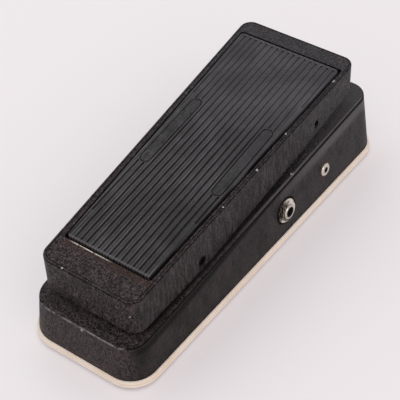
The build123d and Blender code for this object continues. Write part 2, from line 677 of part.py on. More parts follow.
def pinion_gear():
    """Fifteen-tooth pinion with a hub, one tooth pointing at the rack."""
    pressure = math.radians(PRESSURE_ANGLE)
    base_r = PINION_PITCH_R * math.cos(pressure)
    tip_r = PINION_PITCH_R + ADDENDUM
    root_r = PINION_PITCH_R - DEDENDUM
    half_tooth = (TOOTH_PITCH / 2 - BACKLASH) / 2 / PINION_PITCH_R + math.tan(pressure) - pressure
    gear = rod_x(root_r, -PINION_HALF_WIDTH, PINION_HALF_WIDTH, 0, 0)
    radii = [base_r + (tip_r - base_r) * step / 5 for step in range(6)]
    right = [involute_point(base_r, radius, -half_tooth, 1) for radius in radii]
    left = [involute_point(base_r, radius, half_tooth, -1) for radius in reversed(radii)]
    inner_r = root_r - 0.3
    foot_right = (inner_r * math.cos(half_tooth), -inner_r * math.sin(half_tooth))
    foot_left = (inner_r * math.cos(half_tooth), inner_r * math.sin(half_tooth))
    tooth_face = make_face(Polyline(foot_right, *right, *left, foot_left, close=True))
    tooth = extrude(Plane.YZ * tooth_face, amount=PINION_HALF_WIDTH, both=True)
    for index in range(PINION_TEETH):
        gear += Rot(index * 360 / PINION_TEETH, 0, 0) * tooth
    gear += rod_x(root_r, PINION_HALF_WIDTH, PINION_HALF_WIDTH + PINION_HUB, 0, 0)
    gear -= rod_x(POT_SHAFT_R + 0.02, -2 * tip_r, 2 * tip_r, 0, 0)
    gear -= rod_z(GRUB_R, GRUB_X, 0, 0, 2 * tip_r)
    return Pos(0, PINION_Y, PINION_Z) * gear


def pinion_grub_screw():
    top = PINION_PITCH_R - DEDENDUM - 0.2
    screw = rod_z(GRUB_R - 0.03, 0, 0, POT_SHAFT_R + 0.03, top)
    screw -= Pos(0, 0, top) * Box(0.4, 3, 0.8)
    return Pos(GRUB_X, PINION_Y, PINION_Z) * screw


def pot_shaft():
    return rod_x(POT_SHAFT_R, BRACKET_X[0] - 2, POT_SHAFT_END_X, PINION_Y, PINION_Z)


def pot_body():
    """Potentiometer can with its threaded bush and three solder tags."""
    back = BRACKET_X[0] - POT_BODY_LENGTH
    can = rod_x(POT_BODY_R, back, BRACKET_X[0], PINION_Y, PINION_Z)
    can = fillet(can.edges().group_by(Axis.X)[0], 1.2)
    bush = rod_x(POT_BUSH_R, BRACKET_X[0], POT_BUSH_END_X, PINION_Y, PINION_Z)
    body = can + bush
    rim_z = PINION_Z - POT_BODY_R
    for step in (-1, 0, 1):
        y = PINION_Y + POT_TAG_PITCH * step
        body += block(back + 5, back + 5.6, y - 1.2, y + 1.2, rim_z - POT_TAG_DROP, rim_z + 3)
    return body - rod_x(POT_SHAFT_R + POT_SHAFT_FIT, BRACKET_X[0] - 2.3, 10, PINION_Y, PINION_Z)


def pot_washer():
    start = BRACKET_X[1]
    return tube_x(POT_WASHER_R, POT_BUSH_R + PIVOT_FIT, start, start + POT_WASHER_T, PINION_Y, PINION_Z)


def pot_nut():
    start = BRACKET_X[1] + POT_WASHER_T
    hexagon = extrude(Plane.YZ * RegularPolygon(POT_NUT_R, 6), amount=POT_NUT_T)
    bore = rod_x(POT_BUSH_R + 0.03, start - 1, start + POT_NUT_T + 1, PINION_Y, PINION_Z)
    return Pos(start, PINION_Y, PINION_Z) * hexagon - bore


def pot_bracket():
    """Bent steel bracket that hangs from the deck and carries the potentiometer."""
    front_x, back_x = BRACKET_X[1], BRACKET_X[0]
    heel_y, toe_y = BRACKET_Y
    hanger = block(back_x, front_x, heel_y, toe_y, BRACKET_BOTTOM_Z, TALL)
    flange = block(BRACKET_FLANGE_X, front_x, heel_y, toe_y, BRACKET_BOTTOM_Z, TALL)
    flange = flange & above(DECK, -DECK_THICKNESS - BRACKET_FLANGE_T)
    bracket = (hanger + flange) - above(DECK, -DECK_THICKNESS)
    bracket -= rod_x(POT_BUSH_R + HOLE_FIT, back_x - 1, front_x + 1, PINION_Y, PINION_Z)
    for x, y in BRACKET_SCREWS:
        bracket -= rod_z(DECK_SCREW_CLEAR_R, x, y, BRACKET_BOTTOM_Z, TALL)
    return bracket


def bracket_screws():
    screws = []
    for x, y in BRACKET_SCREWS:
        seat = deck_height(y) - DECK_THICKNESS - BRACKET_FLANGE_T - 0.35
        screws.append(pan_screw(x, y, seat, deck_height(y) - 1.2, DECK_SCREW_R, BRACKET_SCREW_HEAD))
    return screws


def rack_guide():
    """Nylon block under the deck with a channel that keeps the rack against the pinion."""
    guide = block(-GUIDE_HALF, GUIDE_HALF, RACK_PITCH_Y + 2, GUIDE_TOE_Y, GUIDE_BOTTOM_Z, TALL)
    guide -= above(DECK, -DECK_THICKNESS)
    channel = RACK_HALF_WIDTH + GUIDE_PLAY
    guide -= block(-channel, channel, 0, RACK_BACK_Y + RACK_SLOT_CLEARANCE, PINION_Z, TALL)
    for y in GUIDE_SCREW_Y:
        guide -= rod_z(DECK_SCREW_CLEAR_R, 0, y, PINION_Z, TALL)
    return guide


def guide_screws():
    return [
        pan_screw(0, y, GUIDE_BOTTOM_Z, deck_height(y) - 1.2, DECK_SCREW_R, GUIDE_SCREW_HEAD)
        for y in GUIDE_SCREW_Y
    ]


def jack_frame(side):
    """Jack socket body inside the wall, with the threaded bush that passes through it."""
    width, height, depth = JACK_BODY
    back = -WALL_THROUGH
    flange = Pos(0, 0, back - JACK_FLANGE_T / 2) * Cylinder(JACK_FLANGE_R, JACK_FLANGE_T)
    body = Pos(0, 0, back - JACK_FLANGE_T - depth / 2) * Box(width, height, depth)
    body = fillet(body.edges() | Axis.Z, 2.0)
    bush = Pos(0, 0, (JACK_BUSH_OUT + back) / 2) * Cylinder(JACK_BUSH_R, JACK_BUSH_OUT - back)
    bush = chamfer(bush.edges().group_by(Axis.Z)[-1], 0.5)
    bore_depth = JACK_BUSH_OUT - back + JACK_FLANGE_T + depth - JACK_BACK_WALL
    bore = Pos(0, 0, JACK_BUSH_OUT - bore_depth / 2) * Cylinder(JACK_BORE_R, bore_depth)
    return wall_plane(side, JACK_Y, JACK_Z) * (flange + body + bush - bore)


def jack_tags(side):
    """Three solder tags on the back of a jack."""
    back = -WALL_THROUGH - JACK_FLANGE_T - JACK_BODY[2]
    middle = back - JACK_TAG[2] / 2
    tags = [Pos(step * JACK_TAG_PITCH, 0, middle) * Box(*JACK_TAG) for step in (-1, 0, 1)]
    return [wall_plane(side, JACK_Y, JACK_Z) * tag for tag in tags]


def jack_washer(side):
    ring = Cylinder(JACK_WASHER_R, JACK_WASHER_T) - Cylinder(JACK_BUSH_R + 0.05, 5)
    return wall_plane(side, JACK_Y, JACK_Z) * Pos(0, 0, JACK_WASHER_T / 2) * ring


def jack_nut(side):
    """Hexagon nut with its outer corners turned off."""
    hexagon = extrude(RegularPolygon(JACK_NUT_R, 6), amount=JACK_NUT_T)
    cone = Solid.make_cone(JACK_NUT_R + JACK_NUT_T * 1.2, JACK_NUT_R - 0.9, JACK_NUT_T)
    nut = (hexagon & cone) - Cylinder(JACK_BUSH_R + 0.03, 10)
    return wall_plane(side, JACK_Y, JACK_Z) * Pos(0, 0, JACK_WASHER_T) * Rot(0, 0, 11) * nut


def power_socket_body():
    """Miniature power socket body inside the right wall, with its bush."""
    back = -WALL_THROUGH
    body = Pos(0, 0, back - SOCKET_BODY_LENGTH / 2) * Cylinder(SOCKET_BODY_R, SOCKET_BODY_LENGTH)
    bush = Pos(0, 0, (back + SOCKET_BUSH_OUT) / 2) * Cylinder(SOCKET_BUSH_R, SOCKET_BUSH_OUT - back)
    body += bush
    for side in (-1, 1):
        body += Pos(0, side * SOCKET_TAG_Y, back - SOCKET_BODY_LENGTH - 1.5) * Box(2.0, 0.5, 3.2)
    bore_depth = SOCKET_BUSH_OUT - back + SOCKET_BODY_LENGTH - SOCKET_BACK_WALL
    bore = Pos(0, 0, SOCKET_BUSH_OUT - bore_depth / 2) * Cylinder(SOCKET_BORE_R, bore_depth)
    return wall_plane(1, SOCKET_Y, SOCKET_Z) * (body - bore)


def power_socket_nut():
    """Round ring nut with a bevelled lip."""
    ring = Cylinder(SOCKET_NUT_R, SOCKET_NUT_T)
    ring = chamfer(ring.edges().group_by(Axis.Z)[-1], 0.6)
    ring -= Cylinder(SOCKET_BUSH_R + 0.03, 5)
    lip = Cylinder(SOCKET_BUSH_R + 0.2, 0.4) - Cylinder(SOCKET_BORE_R + 0.15, 1)
    nut = ring + Pos(0, 0, SOCKET_NUT_T / 2 - 0.2) * lip
    return wall_plane(1, SOCKET_Y, SOCKET_Z) * Pos(0, 0, SOCKET_NUT_T / 2) * nut


def circuit_board():
    board = block(-BOARD_X, BOARD_X, *BOARD_Y, BOARD_Z, BOARD_Z + BOARD_T)
    board = fillet(board.edges() | Axis.Z, 2.0)
    for x, y in BOARD_POSTS:
        board -= rod_z(BOARD_SCREW_R + 0.3, x, y, 0, TALL)
    return board


def board_screws():
    tip = BOARD_Z + BOARD_SCREW_LENGTH
    return [pan_screw(x, y, BOARD_Z, tip, BOARD_SCREW_R, BOARD_SCREW_HEAD) for x, y in BOARD_POSTS]


def capacitors():
    """Three upright can capacitors under the board."""
    cans = []
    for x, y, radius, height in CAPACITORS:
        can = rod_z(radius, x, y, BOARD_Z - height, BOARD_Z)
        cans.append(fillet(can.edges().group_by(Axis.Z)[0], 0.6))
    return cans


def resistors():
    """Six resistors lying under the board."""
    return [rod_x(RESISTOR_R, *RESISTOR_X, y, BOARD_Z - RESISTOR_R) for y in RESISTOR_Y]


def transistors():
    """Two transistors with one flat side, each on three leads under the board."""
    parts = []
    for y in TRANSISTOR_Y:
        case = rod_z(TRANSISTOR_R, TRANSISTOR_X, y, BOARD_Z - 7.0, BOARD_Z - 1.8)
        case -= Pos(TRANSISTOR_X, y + 1.5 * TRANSISTOR_R, BOARD_Z) * Box(TALL, 2 * TRANSISTOR_R, TALL)
        for step in (-1, 0, 1):
            case += rod_z(0.3, TRANSISTOR_X + LEAD_PITCH * step, y, BOARD_Z - 2.5, BOARD_Z)
        parts.append(case)
    return parts


def battery_box(margin_y=0.0):
    """Heel and toe faces of the battery and its middle height."""
    half = BATTERY_SIZE[1] / 2 + margin_y
    return BATTERY_Y - half, BATTERY_Y + half, BATTERY_BOTTOM_Z + BATTERY_SIZE[2] / 2


def battery():
    """Nine-volt block battery, its two snap studs on the right."""
    heel, toe, middle = battery_box()
    end = BATTERY_SIZE[0] / 2
    body = block(-end, end, heel, toe, BATTERY_BOTTOM_Z, BATTERY_BOTTOM_Z + BATTERY_SIZE[2])
    body = fillet(body.edges() | Axis.X, 2.0)
    body += rod_x(SMALL_STUD_R, end - 0.1, end + STUD_HEIGHT, BATTERY_Y - STUD_OFFSET, middle)
    return body + rod_x(LARGE_STUD_R, end - 0.1, end + STUD_HEIGHT, BATTERY_Y + STUD_OFFSET, middle)


def battery_snap():
    """Snap connector over the battery's studs."""
    heel, toe, middle = battery_box(-0.5)
    end = BATTERY_SIZE[0] / 2
    low, high = middle - SNAP_HALF_HEIGHT, middle + SNAP_HALF_HEIGHT
    snap = block(end + 0.1, end + 0.1 + SNAP_THICKNESS, heel, toe, low, high)
    snap = fillet(snap.edges() | Axis.X, SNAP_HALF_HEIGHT / 2)
    socket_end = end + STUD_HEIGHT + 0.1
    snap -= rod_x(SMALL_STUD_R + 0.1, 0, socket_end, BATTERY_Y - STUD_OFFSET, middle)
    return snap - rod_x(LARGE_STUD_R + 0.1, 0, socket_end, BATTERY_Y + STUD_OFFSET, middle)


def battery_clip():
    """Spring clip riveted to the base plate; its two arms hold the battery."""
    half, t = BATTERY_CLIP_HALF, BATTERY_CLIP_T
    heel, toe, _ = battery_box(0.1)
    arm_top = BATTERY_BOTTOM_Z + BATTERY_CLIP_HEIGHT
    clip = block(-half, half, heel - t, toe + t, PLATE_TOP_Z, PLATE_TOP_Z + t)
    clip += block(-half, half, heel - t, heel, PLATE_TOP_Z, arm_top)
    clip += block(-half, half, toe, toe + t, PLATE_TOP_Z, arm_top)
    return clip - rod_z(RIVET_HOLE_R, 0, BATTERY_Y, 0, BATTERY_BOTTOM_Z)


def clip_rivet():
    clip_top = PLATE_TOP_Z + BATTERY_CLIP_T
    rivet = rod_z(RIVET_HOLE_R - 0.05, 0, BATTERY_Y, PLATE_BOTTOM_Z - 0.7, clip_top + 0.6)
    rivet += rod_z(2 * RIVET_HOLE_R, 0, BATTERY_Y, PLATE_BOTTOM_Z - 0.8, PLATE_BOTTOM_Z)
    return rivet + rod_z(2 * RIVET_HOLE_R - 0.3, 0, BATTERY_Y, clip_top, clip_top + 0.6)


def bend_radii(points):
    """Largest arcs that fit between straight runs, one for each corner, up to a limit."""
    radii = []
    for before, corner, after in zip(points, points[1:], points[2:]):
        run_in = Vector(*corner) - Vector(*before)
        run_out = Vector(*after) - Vector(*corner)
        half_turn = math.radians(run_in.get_angle(run_out)) / 2
        shorter = min(run_in.length, run_out.length)
        radii.append(min(0.45 * shorter / math.tan(half_turn), WIRE_MAX_BEND_R))
    return radii


def wire(points):
    """Insulated hook-up wire: straight runs joined by arcs."""
    path = FilletPolyline(*points, radius=bend_radii(points))
    start = Plane(origin=path @ 0, z_dir=path % 0)
    return sweep(start * Circle(WIRE_R), path=path)


def jack_wires(side):
    """Two wires from a jack's tags to the toe end of the board."""
    back = -WALL_THROUGH - JACK_FLANGE_T - JACK_BODY[2] - JACK_TAG[2] - HOLE_FIT
    jack = wall_plane(side, JACK_Y, JACK_Z)
    wires = []
    for step, x in ((-1, 9.5), (0, 6.0)):
        start = (jack * Pos(step * side * JACK_TAG_PITCH, 0, back)).position
        behind = (jack * Pos(step * side * JACK_TAG_PITCH, 0, back - 6.0)).position
        points = [
            tuple(start),
            tuple(behind),
            (side * x, 5.0 - 2 * step, 13.0 + step),
            (side * x, BOARD_WIRE_Y, 15.0),
            (side * x, BOARD_WIRE_Y, BOARD_Z - 0.1),
        ]
        wires.append(wire(points))
    return wires


def power_wires():
    """Two wires from the power socket, under the input jack, to the board."""
    socket = wall_plane(1, SOCKET_Y, SOCKET_Z)
    back = -WALL_THROUGH - SOCKET_BODY_LENGTH - 3.3
    wires = []
    for step in (-1, 1):
        start = (socket * Pos(0, step * SOCKET_TAG_Y, back)).position
        behind = (socket * Pos(0, step * SOCKET_TAG_Y, back - 5.0)).position
        x = 20.0 + 1.5 * step
        points = [
            tuple(start),
            tuple(behind),
            (x, 48.0, 9.0),
            (x, 12.0, 8.0),
            (16.5 + 1.5 * step, 0.5, 10.0),
            (14.0 + 1.5 * step, BOARD_WIRE_Y, 16.0),
            (14.0 + 1.5 * step, BOARD_WIRE_Y, BOARD_Z - 0.1),
        ]
        wires.append(wire(points))
    return wires


def pot_wires():
    """Three wires from the potentiometer's tags, under the output jack, to the board."""
    tag_face = BRACKET_X[0] - POT_BODY_LENGTH + 4.9
    tag_z = PINION_Z - POT_BODY_R - 2.5
    wires = []
    for step in (-1, 0, 1):
        x = -20.5 + 2.2 * step
        far_x = -18.0 + 2.2 * step
        tag_y = PINION_Y + POT_TAG_PITCH * step
        points = [
            (tag_face, tag_y, tag_z),
            (tag_face - 4.0 + step, tag_y, tag_z),
            (x, 36.0, 8.5),
            (x, 11.0, 8.0),
            (far_x, 0.5, 10.0),
            (far_x, BOARD_WIRE_Y, 16.0),
            (far_x, BOARD_WIRE_Y, BOARD_Z - 0.1),
        ]
        wires.append(wire(points))
    return wires


def battery_wires():
    """Two leads from the battery snap to the heel end of the board."""
    start_x = BATTERY_SIZE[0] / 2 + SNAP_THICKNESS + 0.15
    z = battery_box()[2]
    wires = []
    for step in (-1, 1):
        y = BATTERY_Y + 6.0 + 2.0 * step
        points = [
            (start_x, y, z),
            (start_x + 4.0, y, z),
            (31.0 - 1.5 * step, -70.0, 10.0),
            (22.0 - 1.5 * step, -56.0, 9.0),
            (11.0 - 1.5 * step, -46.0, 14.0),
            (11.0 - 1.5 * step, -46.0, BOARD_Z - 0.1),
        ]
        wires.append(wire(points))
    return wires


def write(name, shape):
    """One STEP file per node; a list becomes a group of separate solids."""
    if isinstance(shape, list):
        shape = Compound(children=[part.solid() for part in shape])
    export_step(shape, f"parts/{name}.step")


def main():
    os.makedirs("parts", exist_ok=True)
    nodes = {
        "chassis_shell": chassis_shell(),
        "base_gasket": base_gasket(),
        "base_plate": base_plate(),
        "rubber_feet": rubber_feet(),
        "foot_washers": foot_washers(),
        "base_screws": base_screws(),
        "treadle_shell": treadle_shell(),
        "rubber_tread": rubber_tread(),
        "pivot_shaft": pivot_shaft(),
        "pivot_clips": pivot_clips(),
        "pivot_bushes": pivot_bushes(),
        "thrust_washers": thrust_washers(),
        "heel_bumper": bumper(HEEL_STOP_Y),
        "toe_bumper": bumper(TOE_STOP_Y),
        "rack_pin": rack_pin(),
        "pin_clips": pin_clips(),
        "rack": rack(),
        "rack_guide": rack_guide(),
        "guide_screws": guide_screws(),
        "pinion_gear": pinion_gear(),
        "pinion_grub_screw": pinion_grub_screw(),
        "pot_shaft": pot_shaft(),
        "pot_body": pot_body(),
        "pot_nut": pot_nut(),
        "pot_washer": pot_washer(),
        "pot_bracket": pot_bracket(),
        "bracket_screws": bracket_screws(),
        "input_jack_body": jack_frame(1),
        "input_jack_tags": jack_tags(1),
        "input_jack_washer": jack_washer(1),
        "input_jack_nut": jack_nut(1),
        "output_jack_body": jack_frame(-1),
        "output_jack_tags": jack_tags(-1),
        "output_jack_washer": jack_washer(-1),
        "output_jack_nut": jack_nut(-1),
        "power_socket_body": power_socket_body(),
        "power_socket_nut": power_socket_nut(),
        "circuit_board": circuit_board(),
        "board_screws": board_screws(),
        "capacitors": capacitors(),
        "resistors": resistors(),
        "transistors": transistors(),
        "battery": battery(),
        "battery_snap": battery_snap(),
        "battery_clip": battery_clip(),
        "clip_rivet": clip_rivet(),
        "input_wires": jack_wires(1),
        "output_wires": jack_wires(-1),
        "power_wires": power_wires(),
        "pot_wires": pot_wires(),
        "battery_wires": battery_wires(),
    }
    for name, shape in nodes.items():
        write(name, shape)


main()
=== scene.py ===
import json

import bpy
from mathutils import Matrix, Vector


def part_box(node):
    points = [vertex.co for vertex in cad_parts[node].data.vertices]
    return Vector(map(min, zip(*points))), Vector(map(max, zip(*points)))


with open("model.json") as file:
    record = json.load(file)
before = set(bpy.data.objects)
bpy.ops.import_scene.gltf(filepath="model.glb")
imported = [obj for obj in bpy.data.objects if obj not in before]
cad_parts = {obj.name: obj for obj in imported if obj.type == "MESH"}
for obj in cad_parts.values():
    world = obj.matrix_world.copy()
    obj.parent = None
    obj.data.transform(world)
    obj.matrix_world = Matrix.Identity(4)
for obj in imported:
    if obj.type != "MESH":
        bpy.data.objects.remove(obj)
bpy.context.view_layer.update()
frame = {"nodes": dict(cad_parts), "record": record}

MM = 0.001
NODES = frame["nodes"]
MOUNTS = {mount["name"]: mount for mount in frame["record"]["mounts"]}

# Camera: its place and the point it looks at in metres, a small turn in radians about X, Y and Z,
# and its sensor and focal length in millimetres
CAMERA_PLACE = (0.273580, -0.376251, 0.507562)
CAMERA_TARGET = (0.0, 0.0, 0.030)
CAMERA_TURN = (0.005722, -0.006676, 0.039148)
CAMERA_SENSOR = 36.0
CAMERA_LENS = 99.384

# Treadle's top: its height over the origin, its rise toward the toe, and the edge of its recess
TOP_Z = 69.44 * MM
TOP_RISE = 0.0768
RECESS_HALF = 32.9 * MM
RECESS_TAPER = 0.037
RECESS_HEEL_Y = -94.9 * MM
RECESS_HALF_LENGTH = 96 * MM
# Tread: its middle and its heel edge, the middle and pitch of its ribs, and its two plaques
TREAD_SHIFT = 0.5 * MM
TREAD_HEEL_Y = -92.6 * MM
RIB_SHIFT = 0.9 * MM
RIB_PITCH = 3.95 * MM
PLAQUE_X = 25.1 * MM
PLAQUE_HALF_WIDTH = 3.1 * MM
PLAQUE_HALF_LENGTH = 28.3 * MM
# Holes in the treadle's skirt: Y and Z of the middle, and how far their painted shade reaches, in
# millimetres
PIVOT_HOLE = (-55.0, 43.25, 3.3)
PIN_HOLE = (61.5, 57.5, 2.0)
SKIRT_INNER_X = 31 * MM
SHAFT_END_X = 33 * MM
# Edge of the chassis deck over the origin, how it widens and how it rises toward the toe
DECK_HALF = 43.0 * MM
DECK_TAPER = 0.0465
DECK_Z = 39.1 * MM
DECK_RISE = 0.0648
CHASSIS_HEEL_Y = -119.5 * MM
# Gasket: its foot, the step in its side and its top
GASKET_FOOT_Z = 1.6 * MM
GASKET_STEP_Z = 3.9 * MM
GASKET_TOP_Z = 6.2 * MM

# Inputs A and B and the result of a Mix node, by its data type
MIX_SOCKETS = {"FLOAT": (2, 3, 0), "RGBA": (6, 7, 2)}


class Finish:
    """One node material, its pattern laid out in metres in the row frame."""

    def __init__(self, name):
        self.material = bpy.data.materials.new(name)
        self.material.use_nodes = True
        self.tree = self.material.node_tree
        self.shader = self.tree.nodes["Principled BSDF"]
        self.place = self.node("ShaderNodeTexCoord").outputs["Object"]

    def node(self, kind, **settings):
        made = self.tree.nodes.new(kind)
        for key, value in settings.items():
            setattr(made, key, value)
        return made

    def put(self, value, socket):
        """Links an output to the socket, or sets a plain value on it."""
        if isinstance(value, bpy.types.NodeSocket):
            self.tree.links.new(value, socket)
        elif socket.type == "RGBA":
            socket.default_value = (*value[:3], 1.0)
        else:
            socket.default_value = value

    def vector(self, operation, a, b=(0.0, 0.0, 0.0)):
        made = self.node("ShaderNodeVectorMath", operation=operation)
        self.put(a, made.inputs[0])
        self.put(b, made.inputs[1])
        return made.outputs["Value" if operation in ("LENGTH", "DISTANCE", "DOT_PRODUCT") else "Vector"]

    def calculate(self, operation, a, b=0.0):
        made = self.node("ShaderNodeMath", operation=operation)
        self.put(a, made.inputs[0])
        self.put(b, made.inputs[1])
        return made.outputs[0]

    def add(self, a, b):
        return self.calculate("ADD", a, b)

    def minus(self, a, b):
        return self.calculate("SUBTRACT", a, b)

    def times(self, *shares):
        """Product of several shares."""
        product = shares[0]
        for share in shares[1:]:
            product = self.calculate("MULTIPLY", product, share)
        return product

    def rest_of(self, share):
        """What is left of 1."""
        return self.minus(1.0, share)

    def absolute(self, value):
        return self.calculate("ABSOLUTE", value)

    def stretched(self, x, y, z):
        """Coordinates along which a pattern is x, y and z times as long."""
        return self.vector("DIVIDE", self.place, (x, y, z))

    def noise(self, size, detail=2.0, rough=0.5, kind="FBM", place=None, warp=0.0):
        """Noise whose features are about size metres across."""
        made = self.node("ShaderNodeTexNoise", noise_type=kind)
        self.put(place or self.place, made.inputs["Vector"])
        self.put(1.0 / size, made.inputs["Scale"])
        self.put(detail, made.inputs["Detail"])
        self.put(rough, made.inputs["Roughness"])
        self.put(warp, made.inputs["Distortion"])
        if kind == "RIDGED_MULTIFRACTAL":
            self.put(1.0, made.inputs["Offset"])
            self.put(2.0, made.inputs["Gain"])
        return made.outputs["Fac"]

    def spread(self, value, low, high, to_low=0.0, to_high=1.0):
        """Maps low..high to to_low..to_high, held at the ends."""
        made = self.node("ShaderNodeMapRange", interpolation_type="SMOOTHSTEP")
        limits = {"Value": value, "From Min": low, "From Max": high, "To Min": to_low, "To Max": to_high}
        for name, given in limits.items():
            self.put(given, made.inputs[name])
        return made.outputs["Result"]

    def mix(self, kind, share, a, b):
        first, second, result = MIX_SOCKETS[kind]
        made = self.node("ShaderNodeMix", data_type=kind)
        self.put(share, made.inputs[0])
        self.put(a, made.inputs[first])
        self.put(b, made.inputs[second])
        return made.outputs[result]

    def blend(self, share, a, b):
        """Colour a where share is 0, colour b where it is 1."""
        return self.mix("RGBA", share, a, b)

    def ease(self, share, a, b):
        """Value a where share is 0, value b where it is 1."""
        return self.mix("FLOAT", share, a, b)

    def between(self, value, low, high, soft):
        """1 from low to high, fading out over soft on both sides."""
        rise = self.spread(value, low - soft, low)
        return self.times(rise, self.spread(value, high, high + soft, 1.0, 0.0))

    def layered(self, base, layers):
        """Colour, roughness and metal of a base under layers, each a share and its own three values."""
        colour, rough, metal = base
        for share, (layer_colour, layer_rough, layer_metal) in layers:
            colour = self.blend(share, colour, layer_colour)
            rough = self.ease(share, rough, layer_rough)
            metal = self.ease(share, metal, layer_metal)
        return colour, rough, metal

    def component(self, vector, name):
        """The X, Y or Z part of a vector."""
        split = self.node("ShaderNodeSeparateXYZ")
        self.put(vector, split.inputs[0])
        return split.outputs[name]

    def axis(self, name):
        """The X, Y or Z coordinate."""
        return self.component(self.place, name)

    def facing(self, name):
        """How far the surface faces along X, Y or Z, either way, from 0 to 1."""
        return self.absolute(self.component(self.node("ShaderNodeTexCoord").outputs["Normal"], name))

    def near(self, point, reach, soft=0.4):
        """1 within reach of a point, fading out."""
        away = self.vector("DISTANCE", self.place, point)
        return self.spread(away, reach * (1 - soft), reach, 1.0, 0.0)

    def from_line(self, origin, direction):
        """Distance from a line."""
        offset = self.vector("SUBTRACT", self.place, origin)
        across = self.vector("CROSS_PRODUCT", offset, direction)
        return self.vector("LENGTH", across)

    def bump(self, height, depth, strength=1.0, normal=None):
        made = self.node("ShaderNodeBump")
        self.put(strength, made.inputs["Strength"])
        self.put(depth, made.inputs["Distance"])
        self.put(height, made.inputs["Height"])
        if normal is not None:
            self.put(normal, made.inputs["Normal"])
        return made.outputs["Normal"]

    def soft_edges(self, radius):
        """Normal that rounds the edges a little."""
        made = self.node("ShaderNodeBevel", samples=6)
        self.put(radius, made.inputs["Radius"])
        return made.outputs["Normal"]

    def finish(self, colour, roughness, normal=None, metallic=0.0, shine=0.5):
        """Sets the shader and gives back the material."""
        self.put(colour, self.shader.inputs["Base Color"])
        self.put(shine, self.shader.inputs["Specular IOR Level"])
        self.put(roughness, self.shader.inputs["Roughness"])
        self.put(metallic, self.shader.inputs["Metallic"])
        if normal is not None:
            self.put(normal, self.shader.inputs["Normal"])
        return self.material


WRINKLE_SIZE = 1.4 * MM
WRINKLE_DEPTH = 0.8 * MM
PAINT_SHINE = 0.21


def wrinkle_height(f, size, place):
    """Crowded ridges of wrinkle paint."""
    ridges = f.noise(size, 2.0, 0.55, "RIDGED_MULTIFRACTAL", place, 0.35)
    ridges = f.spread(ridges, 0.3, 1.9)
    grain = f.noise(size * 0.6, 2.0, 0.65, place=place)
    return f.add(f.times(ridges, 0.5), f.times(grain, 0.6))


def wrinkle_paint(f, calm, wall_shade, layers):
    """Black wrinkle paint under layers, with painted shade in its hollows and painted highlights on its
    ridges and in bright specks. Calm weakens the wrinkle and wall_shade darkens the colour with painted
    shade, both 0 to 1.
    """
    place = f.stretched(1.0, 1.0, 1.8)
    height = wrinkle_height(f, WRINKLE_SIZE, place)
    patch = f.noise(26 * MM, 3.0, 0.6)
    clumps = f.noise(3.6 * MM, 3.0, 0.6, place=place)
    lengthwise = f.spread(f.axis("Y"), -0.11, 0.09)
    # Darkest colour: painted shade in the hollows of the wrinkles and on the walls, and darker patches of
    # the paint
    shade_and_dark_paint = f.blend(lengthwise, (0.0034, 0.0020, 0.0020), (0.0045, 0.0042, 0.0046))
    even = f.blend(lengthwise, (0.0245, 0.0158, 0.0162), (0.0210, 0.0195, 0.0212))
    # Lighter colour on the ridges: painted highlight
    ridge_highlight = f.blend(lengthwise, (0.1060, 0.0820, 0.0830), (0.0900, 0.0850, 0.0910))
    strong = f.blend(f.spread(height, 0.30, 0.54), shade_and_dark_paint, even)
    strong = f.blend(f.spread(height, 0.52, 0.84), strong, ridge_highlight)
    colour = f.blend(calm, strong, even)
    colour = f.blend(f.spread(clumps, 0.45, 0.68, 0.0, 0.50), colour, shade_and_dark_paint)
    colour = f.blend(f.spread(patch, 0.38, 0.70, 0.0, 0.30), colour, shade_and_dark_paint)
    # Bright specks: painted glints
    glint_flecks = f.spread(f.noise(1.0 * MM, 1.0, 0.5, place=place), 0.72, 0.80, 0.0, 0.6)
    colour = f.blend(glint_flecks, colour, (0.26, 0.235, 0.23))
    colour = f.blend(wall_shade, colour, shade_and_dark_paint)
    rough = f.spread(f.add(patch, f.times(height, 0.5)), 0.4, 1.2, 0.58, 0.40)
    colour, rough, metal = f.layered((colour, rough, 0.0), layers)
    flatter = f.rest_of(f.times(calm, 0.75))
    normal = f.bump(f.times(height, flatter), WRINKLE_DEPTH, normal=f.soft_edges(0.3 * MM))
    return f.finish(colour, rough, normal, metal, PAINT_SHINE)


# Layers over the paint: colour, roughness and metal
# Black: painted shade under the treadle, in its recess and holes, round the jacks and along edges; also
# black mottling of the walls
BLACK_PAINT_AND_SHADE = ((0.0006, 0.0005, 0.0006), 0.95, 0.0)
# Grey: paler streaks, the treadle's paler top toward the toe, and painted light on the deck toward the toe
GREY_PAINT_AND_LIGHT = ((0.058, 0.056, 0.058), 0.55, 0.0)
# Pale: painted light on the strip along the deck's edge and on the wall under it
PAINTED_LIGHT = ((0.150, 0.143, 0.150), 0.5, 0.0)
WORN_PAINT = ((0.20, 0.185, 0.18), 0.45, 0.0)
BARE_METAL = ((0.68, 0.62, 0.55), 0.38, 0.6)
RUST_STAIN = ((0.052, 0.026, 0.016), 0.62, 0.0)
BROWN_PAINT = ((0.032, 0.021, 0.0205), 0.5, 0.0)
# Dark brown, for the wall just above the gasket
DARK_BROWN = ((0.010, 0.003, 0.002), 0.8, 0.0)


def chips(f, places):
    """Small bright chips, each a point in millimetres and its reach."""
    ragged = f.spread(f.noise(0.8 * MM, 2.0, 0.6), 0.30, 0.55, 0.25, 0.8)
    return [(f.times(f.near(Vector(point) * MM, reach * MM), ragged), BARE_METAL) for point, reach in places]


def hole_shade(f, hole):
    """Painted shade inside and round the lip of a hole in the skirt, on both skirts."""
    y, z, reach = hole
    off = f.from_line((0.0, y * MM, z * MM), (1.0, 0.0, 0.0))
    in_skirt = f.spread(f.absolute(f.axis("X")), SKIRT_INNER_X, SKIRT_INNER_X + 1 * MM)
    return f.times(f.spread(off, reach * MM, (reach + 0.5) * MM, 1.0, 0.0), in_skirt)


